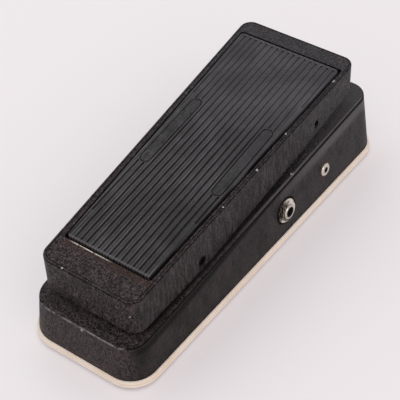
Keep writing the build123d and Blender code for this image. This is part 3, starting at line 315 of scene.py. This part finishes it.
def halo(f, mount, inner, outer):
    """Ring round a socket on its wall, from inner to outer millimetres off its axis."""
    off = f.from_line(MOUNTS[mount]["pos_m"], MOUNTS[mount]["axis"])
    same_side = f.near(MOUNTS[mount]["pos_m"], 20 * MM, 0.1)
    ring = f.between(off, inner * MM, outer * MM, 0.7 * MM)
    return f.times(ring, f.spread(f.facing("X"), 0.5, 0.9), same_side)


# Chips, each a point in millimetres and its reach
CHASSIS_CHIPS = [((39.9, 32.1, 41.2), 1.2), ((1.0, -122.0, 29.3), 0.9)]
TREADLE_CHIPS = [
    ((36.6, 83.0, 75.8), 1.5), ((28.5, -112.2, 50.0), 0.7), ((35.8, -0.5, 69.3), 0.9),
    ((35.0, 31.5, 71.9), 0.8), ((34.4, -32.9, 66.9), 0.7), ((-16.0, -112.1, 60.8), 0.8),
]


def deck_layers(f, y):
    """Deck beside the treadle: painted shadow under the skirt, painted light toward the toe and on a strip
    along the edge.
    """
    deck = f.spread(f.facing("Z"), 0.90, 0.99)
    across = f.minus(f.absolute(f.axis("X")), f.times(y, DECK_TAPER))
    # Painted shadow under the treadle's skirt
    skirt_shadow = f.spread(across, DECK_HALF - 5 * MM, DECK_HALF - 3.4 * MM, 0.9, 0.0)
    beside = f.times(f.spread(y, -0.108, -0.100), f.spread(y, 0.01, 0.06, 1.0, 0.0))
    # Painted light on a strip along the deck's edge
    strip = f.between(across, DECK_HALF - 3.9 * MM, DECK_HALF - 1.8 * MM, 1.3 * MM)
    return [
        (f.times(deck, skirt_shadow, beside, 0.9), BLACK_PAINT_AND_SHADE),
        (f.times(deck, f.spread(y, 0.04, 0.09, 0.0, 0.7)), GREY_PAINT_AND_LIGHT),
        (f.times(deck, f.spread(y, -0.05, 0.03), strip), PAINTED_LIGHT),
    ]


def wall_layers(f, y, wall, below):
    """Wall under the deck's edge: painted light toward the toe, and a dark line of painted shade that
    narrows toward it.
    """
    pale = f.times(f.spread(y, -0.01, 0.07, 0.0, 0.42), f.between(below, 1.5 * MM, 5 * MM, 6 * MM))
    middle = f.spread(y, -0.100, 0.030, 4.2 * MM, 0.6 * MM)
    width = f.spread(y, -0.100, 0.030, 4.4 * MM, 2.0 * MM)
    line = f.calculate("DIVIDE", f.absolute(f.minus(below, middle)), width)
    return [
        (f.times(wall, pale), PAINTED_LIGHT),
        (f.times(wall, f.spread(line, 0.1, 1.0, 0.75, 0.0)), BLACK_PAINT_AND_SHADE),
    ]


def deck_edge_layers(f, y, below):
    """Edge of the deck: a dark line of painted shade, and at the heel a broken line of worn paint."""
    edge = f.between(below, 0.25 * MM, 0.95 * MM, 0.15 * MM)
    heel = f.spread(y, CHASSIS_HEEL_Y - 1 * MM, CHASSIS_HEEL_Y, 1.0, 0.0)
    heel = f.times(heel, f.spread(f.facing("X"), 0.2, 0.6, 1.0, 0.0))
    broken = f.spread(f.noise(3.0 * MM, 3.0, 0.7), 0.38, 0.58)
    return [(f.times(edge, f.rest_of(heel)), BLACK_PAINT_AND_SHADE), (f.times(edge, heel, broken), WORN_PAINT)]


def chassis_paint():
    f = Finish("chassis_wrinkle_paint")
    y, z = f.axis("Y"), f.axis("Z")
    wall = f.spread(f.facing("X"), 0.5, 0.95)
    below = f.minus(f.add(f.times(y, DECK_RISE), DECK_Z), z)
    mottle = f.noise(8 * MM, 4.0, 0.65, place=f.stretched(1.0, 1.0, 2.0))
    # Wall darker just above the gasket
    over_gasket = f.spread(z, GASKET_TOP_Z + 0.3 * MM, GASKET_TOP_Z + 1.6 * MM, 0.9, 0.0)
    layers = [
        (f.times(wall, f.spread(mottle, 0.48, 0.66, 0.0, 0.55)), BROWN_PAINT),
        (f.times(wall, f.spread(mottle, 0.34, 0.46, 0.20, 0.0)), BLACK_PAINT_AND_SHADE),
        (f.times(wall, over_gasket), DARK_BROWN),
        *deck_layers(f, y),
        *wall_layers(f, y, wall, below),
        *deck_edge_layers(f, y, below),
        # Painted shade round the input and output jacks, and a rust stain round the power socket
        (halo(f, "input_jack", 8.0, 9.0), BLACK_PAINT_AND_SHADE),
        (halo(f, "output_jack", 8.0, 9.0), BLACK_PAINT_AND_SHADE),
        (halo(f, "power_socket", 4.2, 5.2), RUST_STAIN),
        *chips(f, CHASSIS_CHIPS),
    ]
    heel_wall = f.spread(f.facing("Y"), 0.5, 0.95)
    calm = f.add(f.times(wall, 0.75), f.times(heel_wall, 0.35))
    # Painted shade on the walls, darker toward the heel
    wall_shade = f.times(wall, f.spread(y, -0.08, 0.07, 0.90, 0.30))
    return wrinkle_paint(f, calm, wall_shade, layers)


def rim_layers(f, y, under, ragged):
    """Round the treadle's top: painted shade in the recess round the tread, and a dark ragged line of
    painted shade along the edge.
    """
    across = f.absolute(f.minus(f.axis("X"), TREAD_SHIFT))
    across = f.minus(across, f.times(y, RECESS_TAPER))
    from_middle = f.absolute(y)
    # Painted shade in the recess round the tread
    recess = f.times(
        f.between(under, 0.7 * MM, 3.6 * MM, 0.4 * MM),
        f.spread(across, RECESS_HALF, RECESS_HALF + 1 * MM, 1.0, 0.0),
        f.spread(from_middle, RECESS_HALF_LENGTH, RECESS_HALF_LENGTH + 2 * MM, 1.0, 0.0),
    )
    beside = f.spread(across, RECESS_HALF + 1.2 * MM, RECESS_HALF + 1.7 * MM)
    beyond = f.spread(from_middle, RECESS_HALF_LENGTH + 1 * MM, RECESS_HALF_LENGTH + 3 * MM)
    outside = f.calculate("MAXIMUM", beside, beyond)
    edge = f.times(f.between(under, 0.15 * MM, 0.80 * MM, 0.12 * MM), outside)
    return [(recess, BLACK_PAINT_AND_SHADE), (f.times(edge, f.spread(ragged, 0.35, 0.60, 1.0, 0.4)), BLACK_PAINT_AND_SHADE)]


def heel_layers(f, y, under, ragged):
    """Heel of the tread's recess: a brown stain, and a line rubbed down to bare metal."""
    x = f.axis("X")
    stain = f.between(y, RECESS_HEEL_Y - 3.1 * MM, RECESS_HEEL_Y + 0.9 * MM, 2 * MM)
    stain = f.times(stain, f.between(x, -24 * MM, 28 * MM, 6 * MM))
    stain = f.times(stain, f.spread(ragged, 0.3, 0.6), f.facing("Z"), 0.55)
    bare = f.between(y, RECESS_HEEL_Y - 0.5 * MM, RECESS_HEEL_Y + 0.5 * MM, 0.4 * MM)
    bare = f.times(bare, f.between(x, -18 * MM, -2 * MM, 8 * MM), f.spread(ragged, 0.35, 0.5))
    bare = f.times(bare, f.spread(under, 0.9 * MM, 1.4 * MM, 1.0, 0.0))
    return [(stain, RUST_STAIN), (bare, BARE_METAL)]


def treadle_paint():
    f = Finish("treadle_wrinkle_paint")
    y = f.axis("Y")
    wall = f.spread(f.facing("X"), 0.5, 0.95)
    top = f.spread(f.facing("Z"), 0.95, 0.99)
    under = f.minus(f.add(f.times(y, TOP_RISE), TOP_Z), f.axis("Z"))
    ragged = f.noise(2.2 * MM, 3.0, 0.7)
    streaks = f.noise(1.8 * MM, 3.0, 0.6, place=f.stretched(1.0, 1.0, 6.0))
    layers = [
        (f.times(wall, f.spread(streaks, 0.50, 0.68, 0.0, 0.6)), GREY_PAINT_AND_LIGHT),
        (f.times(top, f.spread(y, 0.02, 0.10, 0.0, 0.25)), GREY_PAINT_AND_LIGHT),
        # Painted shade in and round the pivot and pin holes, on both skirts
        (hole_shade(f, PIVOT_HOLE), BLACK_PAINT_AND_SHADE),
        (hole_shade(f, PIN_HOLE), BLACK_PAINT_AND_SHADE),
        *rim_layers(f, y, under, ragged),
        *heel_layers(f, y, under, ragged),
        *chips(f, TREADLE_CHIPS),
    ]
    # Painted shade on the skirt walls, streaked, fading out toward the toe
    streaked = f.spread(streaks, 0.35, 0.55, 0.85, 0.25)
    wall_shade = f.times(wall, streaked, f.spread(y, 0.03, 0.09, 1.0, 0.0))
    return wrinkle_paint(f, f.times(wall, 0.35), wall_shade, layers)


# Pale scuffs and dull patches on the tread: a point and a reach in millimetres, and how strong they are
TREAD_SCUFFS = [
    ((-11, 20, 71), 19, 0.9), ((13, 49, 73), 14, 0.9), ((4, 30, 72), 22, 0.5), ((2, 80, 75), 26, 0.5),
    ((20, 62, 74), 18, 0.7), ((-14, -40, 66), 26, 0.4), ((2, -20, 68), 16, 0.5),
]
TREAD_DULL = [
    ((-15, 52, 73), 17, 0.8), ((28, -55, 65), 32, 0.8), ((26, 5, 70), 26, 0.8), ((-24, 78, 75), 14, 0.7),
    ((8, 12, 70), 11, 0.6),
]
# Dark: dirt specks, and painted shade in the groove floors
DIRT_AND_SHADE = (0.006, 0.0057, 0.006)
DUST = (0.13, 0.125, 0.125)


def tread_rubber():
    f = Finish("tread_rubber")
    y = f.axis("Y")
    from_middle = f.minus(f.axis("X"), RIB_SHIFT)
    groove = f.calculate("PINGPONG", from_middle, RIB_PITCH / 2)
    plaque_low, plaque_high = PLAQUE_X - PLAQUE_HALF_WIDTH, PLAQUE_X + PLAQUE_HALF_WIDTH
    on_plaque = f.between(f.absolute(from_middle), plaque_low, plaque_high, 0.9 * MM)
    on_plaque = f.times(on_plaque, f.between(y, -PLAQUE_HALF_LENGTH, PLAQUE_HALF_LENGTH, 0.9 * MM))
    off_plaque = f.rest_of(on_plaque)
    ribbed = f.times(off_plaque, f.spread(y, -0.02, 0.06, 1.0, 0.4))

    streak = f.noise(2.6 * MM, 3.0, 0.65, place=f.stretched(1.0, 8.0, 1.0))
    cloud = f.noise(26 * MM, 4.0, 0.65, warp=0.6)
    dust = f.noise(1.0 * MM, 2.0, 0.6)
    mottle = f.noise(1.7 * MM, 3.0, 0.7, place=f.stretched(1.0, 1.8, 1.0))
    lengthwise = f.spread(y, -0.09, 0.08)
    dark = f.blend(lengthwise, (0.0170, 0.0155, 0.0162), (0.034, 0.0324, 0.0350))
    pale = f.blend(lengthwise, (0.053, 0.049, 0.051), (0.078, 0.0745, 0.080))

    colour = f.blend(f.spread(cloud, 0.36, 0.66), dark, pale)
    for point, reach, share in TREAD_SCUFFS:
        scuffed = f.times(f.near(Vector(point) * MM, reach * MM, 0.8), f.spread(cloud, 0.2, 0.7), share)
        colour = f.blend(scuffed, colour, pale)
    dull_plaque = f.times(on_plaque, f.spread(mottle, 0.38, 0.60, 1.0, 0.2))
    colour = f.blend(dull_plaque, colour, (0.012, 0.0112, 0.0118))
    colour = f.blend(f.spread(streak, 0.48, 0.66, 0.0, 0.65), colour, dark)
    colour = f.blend(f.spread(streak, 0.30, 0.44, 0.45, 0.0), colour, pale)
    rib_middle = f.times(f.spread(groove, 1.2 * MM, 1.6 * MM, 0.0, 0.6), off_plaque)
    colour = f.blend(rib_middle, colour, dark)
    # Painted highlight along the edges of the ribs
    rib_edge_highlight = f.times(f.between(groove, 0.85 * MM, 1.15 * MM, 0.3 * MM), ribbed)
    colour = f.blend(f.times(rib_edge_highlight, f.spread(streak, 0.3, 0.6, 0.9, 0.3)), colour, (0.125, 0.120, 0.125))
    for point, reach, share in TREAD_DULL:
        colour = f.blend(f.times(f.near(Vector(point) * MM, reach * MM, 0.8), share), colour, dark)
    # Painted shade in the groove floors
    shaded_groove_floor = f.times(f.spread(groove, 0.55 * MM, 0.85 * MM, 0.8, 0.0), ribbed)
    colour = f.blend(shaded_groove_floor, colour, DIRT_AND_SHADE)
    worn_floor = f.times(f.spread(groove, 0.60 * MM, 0.95 * MM, 0.5, 0.0), f.spread(y, 0.01, 0.06))
    colour = f.blend(worn_floor, colour, pale)
    colour = f.blend(f.spread(dust, 0.58, 0.78, 0.0, 0.45), colour, DUST)
    colour = f.blend(f.spread(dust, 0.25, 0.42, 0.5, 0.0), colour, DIRT_AND_SHADE)
    heel_edge = f.spread(y, TREAD_HEEL_Y, TREAD_HEEL_Y + 1 * MM, 0.35, 0.0)
    colour = f.blend(f.times(heel_edge, f.spread(f.facing("Z"), 0.5, 0.9)), colour, (0.12, 0.115, 0.115))

    rough = f.spread(f.add(cloud, streak), 0.7, 1.3, 0.66, 0.50)
    height = f.add(f.noise(0.7 * MM, 2.0, 0.6), f.times(streak, 0.6))
    normal = f.bump(height, 0.14 * MM, 0.6, f.soft_edges(0.25 * MM))
    return f.finish(colour, rough, normal, shine=0.26)


def cream_rubber():
    f = Finish("cream_rubber")
    z = f.axis("Z")
    stain = f.noise(18 * MM, 3.0, 0.6)
    speck = f.noise(1.1 * MM, 2.0, 0.6)
    colour = f.blend(f.spread(stain, 0.4, 0.75), (0.93, 0.82, 0.695), (0.85, 0.725, 0.585))
    colour = f.blend(f.spread(speck, 0.62, 0.8, 0.0, 0.3), colour, (0.50, 0.38, 0.30))
    seam = f.between(z, GASKET_STEP_Z - 0.35 * MM, GASKET_STEP_Z + 0.1 * MM, 0.25 * MM)
    colour = f.blend(f.times(seam, 0.18), colour, (0.52, 0.39, 0.29))
    # Darker toward the foot
    darker_foot = f.spread(z, GASKET_FOOT_Z, GASKET_FOOT_Z + 0.7 * MM, 0.85, 0.0)
    colour = f.blend(darker_foot, colour, (0.20, 0.15, 0.13))
    normal = f.bump(speck, 0.08 * MM, 0.5, f.soft_edges(0.3 * MM))
    f.put(0.08, f.shader.inputs["Subsurface Weight"])
    return f.finish(colour, f.spread(stain, 0.3, 0.7, 0.55, 0.68), normal)


def black_rubber():
    f = Finish("black_rubber")
    grain = f.noise(0.8 * MM, 2.0, 0.6)
    colour = f.blend(f.noise(6 * MM, 3.0), (0.018, 0.018, 0.018), (0.045, 0.043, 0.042))
    normal = f.bump(grain, 0.1 * MM, 0.5, f.soft_edges(0.3 * MM))
    return f.finish(colour, f.spread(grain, 0.3, 0.7, 0.62, 0.78), normal)


def plated(name, clean, dull, size, rough_low, rough_high, radius=0.2):
    """Plated or bare metal with rolled streaks, tarnish and fine scratches."""
    f = Finish(name)
    cloud = f.noise(size, 4.0, 0.6)
    scratch = f.noise(0.5 * MM, 3.0, 0.7, place=f.stretched(1.0, 14.0, 1.0))
    colour = f.blend(f.spread(cloud, 0.4, 0.7), clean, dull)
    rough = f.spread(f.add(cloud, f.times(scratch, 0.5)), 0.5, 1.0, rough_low, rough_high)
    normal = f.bump(scratch, 0.03 * MM, 0.4, f.soft_edges(radius * MM))
    return f.finish(colour, rough, normal, 1.0)


def zinc_plate():
    return plated("zinc_plate", (0.60, 0.59, 0.56), (0.50, 0.48, 0.45), 14 * MM, 0.36, 0.50)


def plated_screws():
    return plated("plated_screws", (0.66, 0.64, 0.60), (0.46, 0.43, 0.38), 3 * MM, 0.26, 0.48)


def ground_steel():
    return plated("ground_steel", (0.66, 0.65, 0.63), (0.50, 0.47, 0.43), 4 * MM, 0.20, 0.38)


def shaft_with_shaded_ends():
    """Steel shaft with black painted shade on its ends, where they show in the skirt's pivot holes."""
    f = Finish("shaft_with_shaded_ends")
    cloud = f.noise(4 * MM, 4.0, 0.6)
    end = f.spread(f.absolute(f.axis("X")), SHAFT_END_X, SHAFT_END_X + 0.3 * MM)
    colour = f.blend(end, f.blend(cloud, (0.66, 0.65, 0.63), (0.50, 0.47, 0.43)), (0.004, 0.004, 0.004))
    rough = f.spread(cloud, 0.3, 0.7, 0.22, 0.40)
    normal = f.bump(cloud, 0.03 * MM, 0.4, f.soft_edges(0.2 * MM))
    return f.finish(colour, f.ease(end, rough, 0.8), normal, f.rest_of(end), 0.2)


def bronze():
    return plated("sintered_bronze", (0.58, 0.38, 0.19), (0.40, 0.25, 0.12), 2 * MM, 0.38, 0.58)


def nickel_plate():
    return plated("nickel_plate", (0.70, 0.67, 0.61), (0.47, 0.43, 0.37), 2.5 * MM, 0.22, 0.45, 0.3)


def tinned_tags():
    return plated("tinned_tags", (0.72, 0.72, 0.70), (0.55, 0.54, 0.51), 2 * MM, 0.30, 0.46)


def pot_can():
    return plated("pot_can", (0.60, 0.59, 0.56), (0.44, 0.42, 0.39), 7 * MM, 0.30, 0.48)


# Spot of painted highlight under the jack, off the jack's mouth
HIGHLIGHT_SPOT = Vector((0.0, -4.5, -6.0)) * MM


def lit_and_stained_plate(name, mount, toward):
    """Nickel plate with a painted highlight on the side toward a direction and at a spot, and painted shade
    with brown upright streaks elsewhere.
    """
    f = Finish(name)
    mouth = Vector(MOUNTS[mount]["pos_m"])
    side = f.vector("DOT_PRODUCT", f.vector("SUBTRACT", f.place, mouth), toward)
    streak = f.noise(0.9 * MM, 2.0, 0.6, place=f.stretched(1.0, 1.0, 5.0))
    cloud = f.noise(2.5 * MM, 4.0, 0.6)
    # Paler nickel: painted highlight
    clean = f.blend(f.spread(cloud, 0.4, 0.7), (0.86, 0.81, 0.74), (0.60, 0.53, 0.46))
    shade_and_stain = f.blend(f.spread(streak, 0.42, 0.62), (0.012, 0.008, 0.006), (0.24, 0.19, 0.15))
    far = f.spread(f.add(side, f.times(cloud, 2.0 * MM)), 1.5 * MM, 6.0 * MM, 1.0, 0.0)
    bright = f.near(mouth + HIGHLIGHT_SPOT, 4.2 * MM, 0.6)
    share = f.times(far, f.rest_of(bright))
    colour = f.blend(share, clean, shade_and_stain)
    rough = f.spread(cloud, 0.35, 0.7, 0.28, 0.50)
    normal = f.bump(streak, 0.05 * MM, 0.5, f.soft_edges(0.3 * MM))
    return f.finish(colour, rough, normal, f.rest_of(f.times(share, 0.5)))


def input_jack_plate():
    return lit_and_stained_plate("input_jack_plate", "input_jack", (0.0, 0.9, 0.45))


def jack_metal(name, mount, lip):
    """Nickel-plated bush round a dark bore: black painted shade in the bore, out to lip times its radius."""
    f = Finish(name)
    seat = MOUNTS[mount]
    off = f.from_line(seat["pos_m"], seat["axis"])
    wall = seat["dims"]["r_mm"] * MM
    cloud = f.noise(2.5 * MM, 4.0, 0.6)
    metal = f.blend(f.spread(cloud, 0.4, 0.7), (0.68, 0.65, 0.59), (0.45, 0.41, 0.36))
    # Painted shade in the bore
    inside = f.spread(off, wall * lip, wall * (lip + 0.04), 1.0, 0.0)
    colour = f.blend(inside, metal, (0.018, 0.016, 0.015))
    rough = f.spread(cloud, 0.35, 0.7, 0.25, 0.48)
    normal = f.bump(f.noise(0.6 * MM, 2.0), 0.03 * MM, 0.4, f.soft_edges(0.25 * MM))
    return f.finish(colour, rough, normal, f.rest_of(inside))


def white_nylon():
    f = Finish("white_nylon")
    grain = f.noise(1.5 * MM, 2.0, 0.5)
    colour = f.blend(f.noise(8 * MM, 3.0), (0.80, 0.78, 0.72), (0.70, 0.66, 0.58))
    normal = f.bump(grain, 0.05 * MM, 0.4, f.soft_edges(0.2 * MM))
    return f.finish(colour, f.spread(grain, 0.3, 0.7, 0.38, 0.52), normal)


def plastic(name, low, high, rough_low, rough_high):
    """Moulded plastic with faint mottling and grain."""
    f = Finish(name)
    grain = f.noise(0.7 * MM, 2.0, 0.6)
    colour = f.blend(f.noise(5 * MM, 3.0), low, high)
    rough = f.spread(grain, 0.3, 0.7, rough_low, rough_high)
    return f.finish(colour, rough, f.bump(grain, 0.05 * MM, 0.4, f.soft_edges(0.2 * MM)))


def board_laminate():
    return plastic("board_laminate", (0.42, 0.27, 0.10), (0.52, 0.36, 0.16), 0.38, 0.55)


def capacitor_sleeve():
    return plastic("capacitor_sleeve", (0.02, 0.07, 0.20), (0.03, 0.09, 0.26), 0.30, 0.42)


BAND_SCALE = 130.0


def resistor_body():
    """Tan resistors with dark bands round them."""
    f = Finish("resistor_body")
    bands = f.node("ShaderNodeTexWave", wave_type="BANDS", bands_direction="X")
    f.put(f.place, bands.inputs["Vector"])
    f.put(BAND_SCALE, bands.inputs["Scale"])
    colour = f.blend(f.spread(bands.outputs["Fac"], 0.80, 0.88), (0.55, 0.38, 0.22), (0.16, 0.04, 0.02))
    grain = f.noise(0.7 * MM, 2.0)
    return f.finish(colour, f.spread(grain, 0.3, 0.7, 0.32, 0.45), f.bump(grain, 0.03 * MM, 0.4))


def transistor_case():
    return plastic("transistor_case", (0.012, 0.012, 0.013), (0.030, 0.029, 0.028), 0.34, 0.50)


def battery_sleeve():
    """Plain dark sleeve with a paler band at one end."""
    f = Finish("battery_sleeve")
    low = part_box("battery")[0]
    band_x = low.x + 14 * MM
    band = f.spread(f.axis("X"), band_x, band_x + 0.4 * MM, 1.0, 0.0)
    grain = f.noise(4 * MM, 3.0)
    colour = f.blend(band, f.blend(grain, (0.020, 0.020, 0.024), (0.035, 0.035, 0.040)), (0.42, 0.30, 0.12))
    rough = f.spread(f.noise(1.5 * MM, 2.0), 0.3, 0.7, 0.26, 0.42)
    return f.finish(colour, rough, f.bump(grain, 0.06 * MM, 0.4, f.soft_edges(0.3 * MM)), 0.3)


def snap_vinyl():
    return plastic("snap_vinyl", (0.016, 0.016, 0.016), (0.034, 0.032, 0.032), 0.42, 0.58)


def wire_sleeve(name, low, high):
    return plastic(name, low, high, 0.34, 0.50)


# Nodes that each finish goes on
FINISHES = {
    chassis_paint: ["chassis_shell"],
    treadle_paint: ["treadle_shell"],
    tread_rubber: ["rubber_tread"],
    cream_rubber: ["base_gasket"],
    black_rubber: ["rubber_feet", "heel_bumper", "toe_bumper"],
    zinc_plate: ["base_plate", "pot_bracket"],
    plated_screws: [
        "base_screws", "guide_screws", "bracket_screws", "board_screws", "foot_washers", "pivot_clips",
        "pin_clips", "pinion_grub_screw", "battery_clip", "clip_rivet",
    ],
    ground_steel: ["rack_pin", "pot_shaft"],
    shaft_with_shaded_ends: ["pivot_shaft"],
    bronze: ["pivot_bushes"],
    white_nylon: ["rack", "rack_guide", "pinion_gear", "thrust_washers"],
    input_jack_plate: ["input_jack_nut", "input_jack_washer"],
    nickel_plate: ["output_jack_nut", "output_jack_washer", "power_socket_nut", "pot_nut", "pot_washer"],
    tinned_tags: ["input_jack_tags", "output_jack_tags"],
    pot_can: ["pot_body"],
    board_laminate: ["circuit_board"],
    capacitor_sleeve: ["capacitors"],
    resistor_body: ["resistors"],
    transistor_case: ["transistors"],
    battery_sleeve: ["battery"],
    snap_vinyl: ["battery_snap"],
}
# Two shades of each bundle's sleeves
WIRES = {
    "input_wires": ((0.42, 0.04, 0.03), (0.52, 0.06, 0.05)),
    "output_wires": ((0.06, 0.12, 0.40), (0.08, 0.16, 0.50)),
    "power_wires": ((0.45, 0.36, 0.05), (0.55, 0.45, 0.08)),
    "pot_wires": ((0.08, 0.30, 0.10), (0.10, 0.38, 0.14)),
    "battery_wires": ((0.02, 0.02, 0.02), (0.04, 0.04, 0.04)),
}
# Each socket's mount, and how far the painted shade of its bore reaches against its radius
SOCKETS = {
    "input_jack_body": ("input_jack", 1.02),
    "output_jack_body": ("output_jack", 1.02),
    "power_socket_body": ("power_socket", 1.26),
}


def give(node, material):
    """Puts one material on every slot of a CAD node."""
    piece = NODES[node]
    if not piece.material_slots:
        piece.data.materials.append(material)
    for slot in piece.material_slots:
        slot.material = material


def give_all():
    for make, names in FINISHES.items():
        material = make()
        for name in names:
            give(name, material)
    for name, (low, high) in WIRES.items():
        give(name, wire_sleeve(name + "_sleeve", low, high))
    for name, (mount, lip) in SOCKETS.items():
        give(name, jack_metal(name + "_metal", mount, lip))


# Floor: its width in metres, and a little light of its own, which keeps the shadows soft
FLOOR_SIZE = 12.0
FLOOR_GLOW = (1.0, 0.915, 0.935)
FLOOR_GLOW_STRENGTH = 0.235


def stage():
    """Plain pale floor."""
    bpy.ops.mesh.primitive_grid_add(x_subdivisions=2, y_subdivisions=2, size=FLOOR_SIZE, location=(0, 0, 0))
    floor = bpy.context.object
    floor.name = "floor"
    f = Finish("pale_floor")
    cloud = f.noise(0.5, 2.0)
    colour = f.blend(cloud, (0.59, 0.575, 0.580), (0.61, 0.595, 0.600))
    f.put(FLOOR_GLOW, f.shader.inputs["Emission Color"])
    f.put(FLOOR_GLOW_STRENGTH, f.shader.inputs["Emission Strength"])
    floor.data.materials.append(f.finish(colour, 0.6))


def area_light(name, place, size, power, colour):
    """Rectangular light that shines at the origin: its place and size in metres, its power in watts."""
    data = bpy.data.lights.new(name, "AREA")
    data.shape = "RECTANGLE"
    data.size, data.size_y = size
    data.energy = power
    data.color = colour
    lamp = bpy.data.objects.new(name, data)
    bpy.context.scene.collection.objects.link(lamp)
    lamp.location = place
    lamp.rotation_euler = (-Vector(place)).to_track_quat("-Z", "Y").to_euler()


WORLD_COLOUR = (1.0, 0.935, 0.950, 1.0)
WORLD_STRENGTH = 0.74


def lights():
    area_light("key", (-0.55, 0.15, 1.6), (2.0, 2.0), 10.6, (0.86, 1.0, 1.0))
    area_light("fill", (1.2, -0.6, 1.0), (1.2, 1.0), 4.6, (1.0, 0.88, 0.93))
    world = bpy.data.worlds.new("studio")
    bpy.context.scene.world = world
    world.use_nodes = True
    background = world.node_tree.nodes["Background"]
    background.inputs["Color"].default_value = WORLD_COLOUR
    background.inputs["Strength"].default_value = WORLD_STRENGTH


def camera():
    """Camera at its place, aimed at its target and then turned a little."""
    place, target = Vector(CAMERA_PLACE), Vector(CAMERA_TARGET)
    back = (place - target).normalized()
    right = Vector((0, 0, 1)).cross(back).normalized()
    up = back.cross(right)
    turn_x, turn_y, turn_z = (Matrix.Rotation(angle, 3, axis) for angle, axis in zip(CAMERA_TURN, "XYZ"))
    axes = (turn_z @ turn_y @ turn_x) @ Matrix((right, up, back))
    data = bpy.data.cameras.new("camera")
    data.sensor_width = CAMERA_SENSOR
    data.lens = CAMERA_LENS
    data.clip_start, data.clip_end = 0.01, 50.0
    made = bpy.data.objects.new("camera", data)
    bpy.context.scene.collection.objects.link(made)
    made.matrix_world = Matrix.Translation(place) @ axes.transposed().to_4x4()
    bpy.context.scene.camera = made


give_all()
stage()
lights()
camera()
bpy.context.scene.view_settings.view_transform = "Standard"
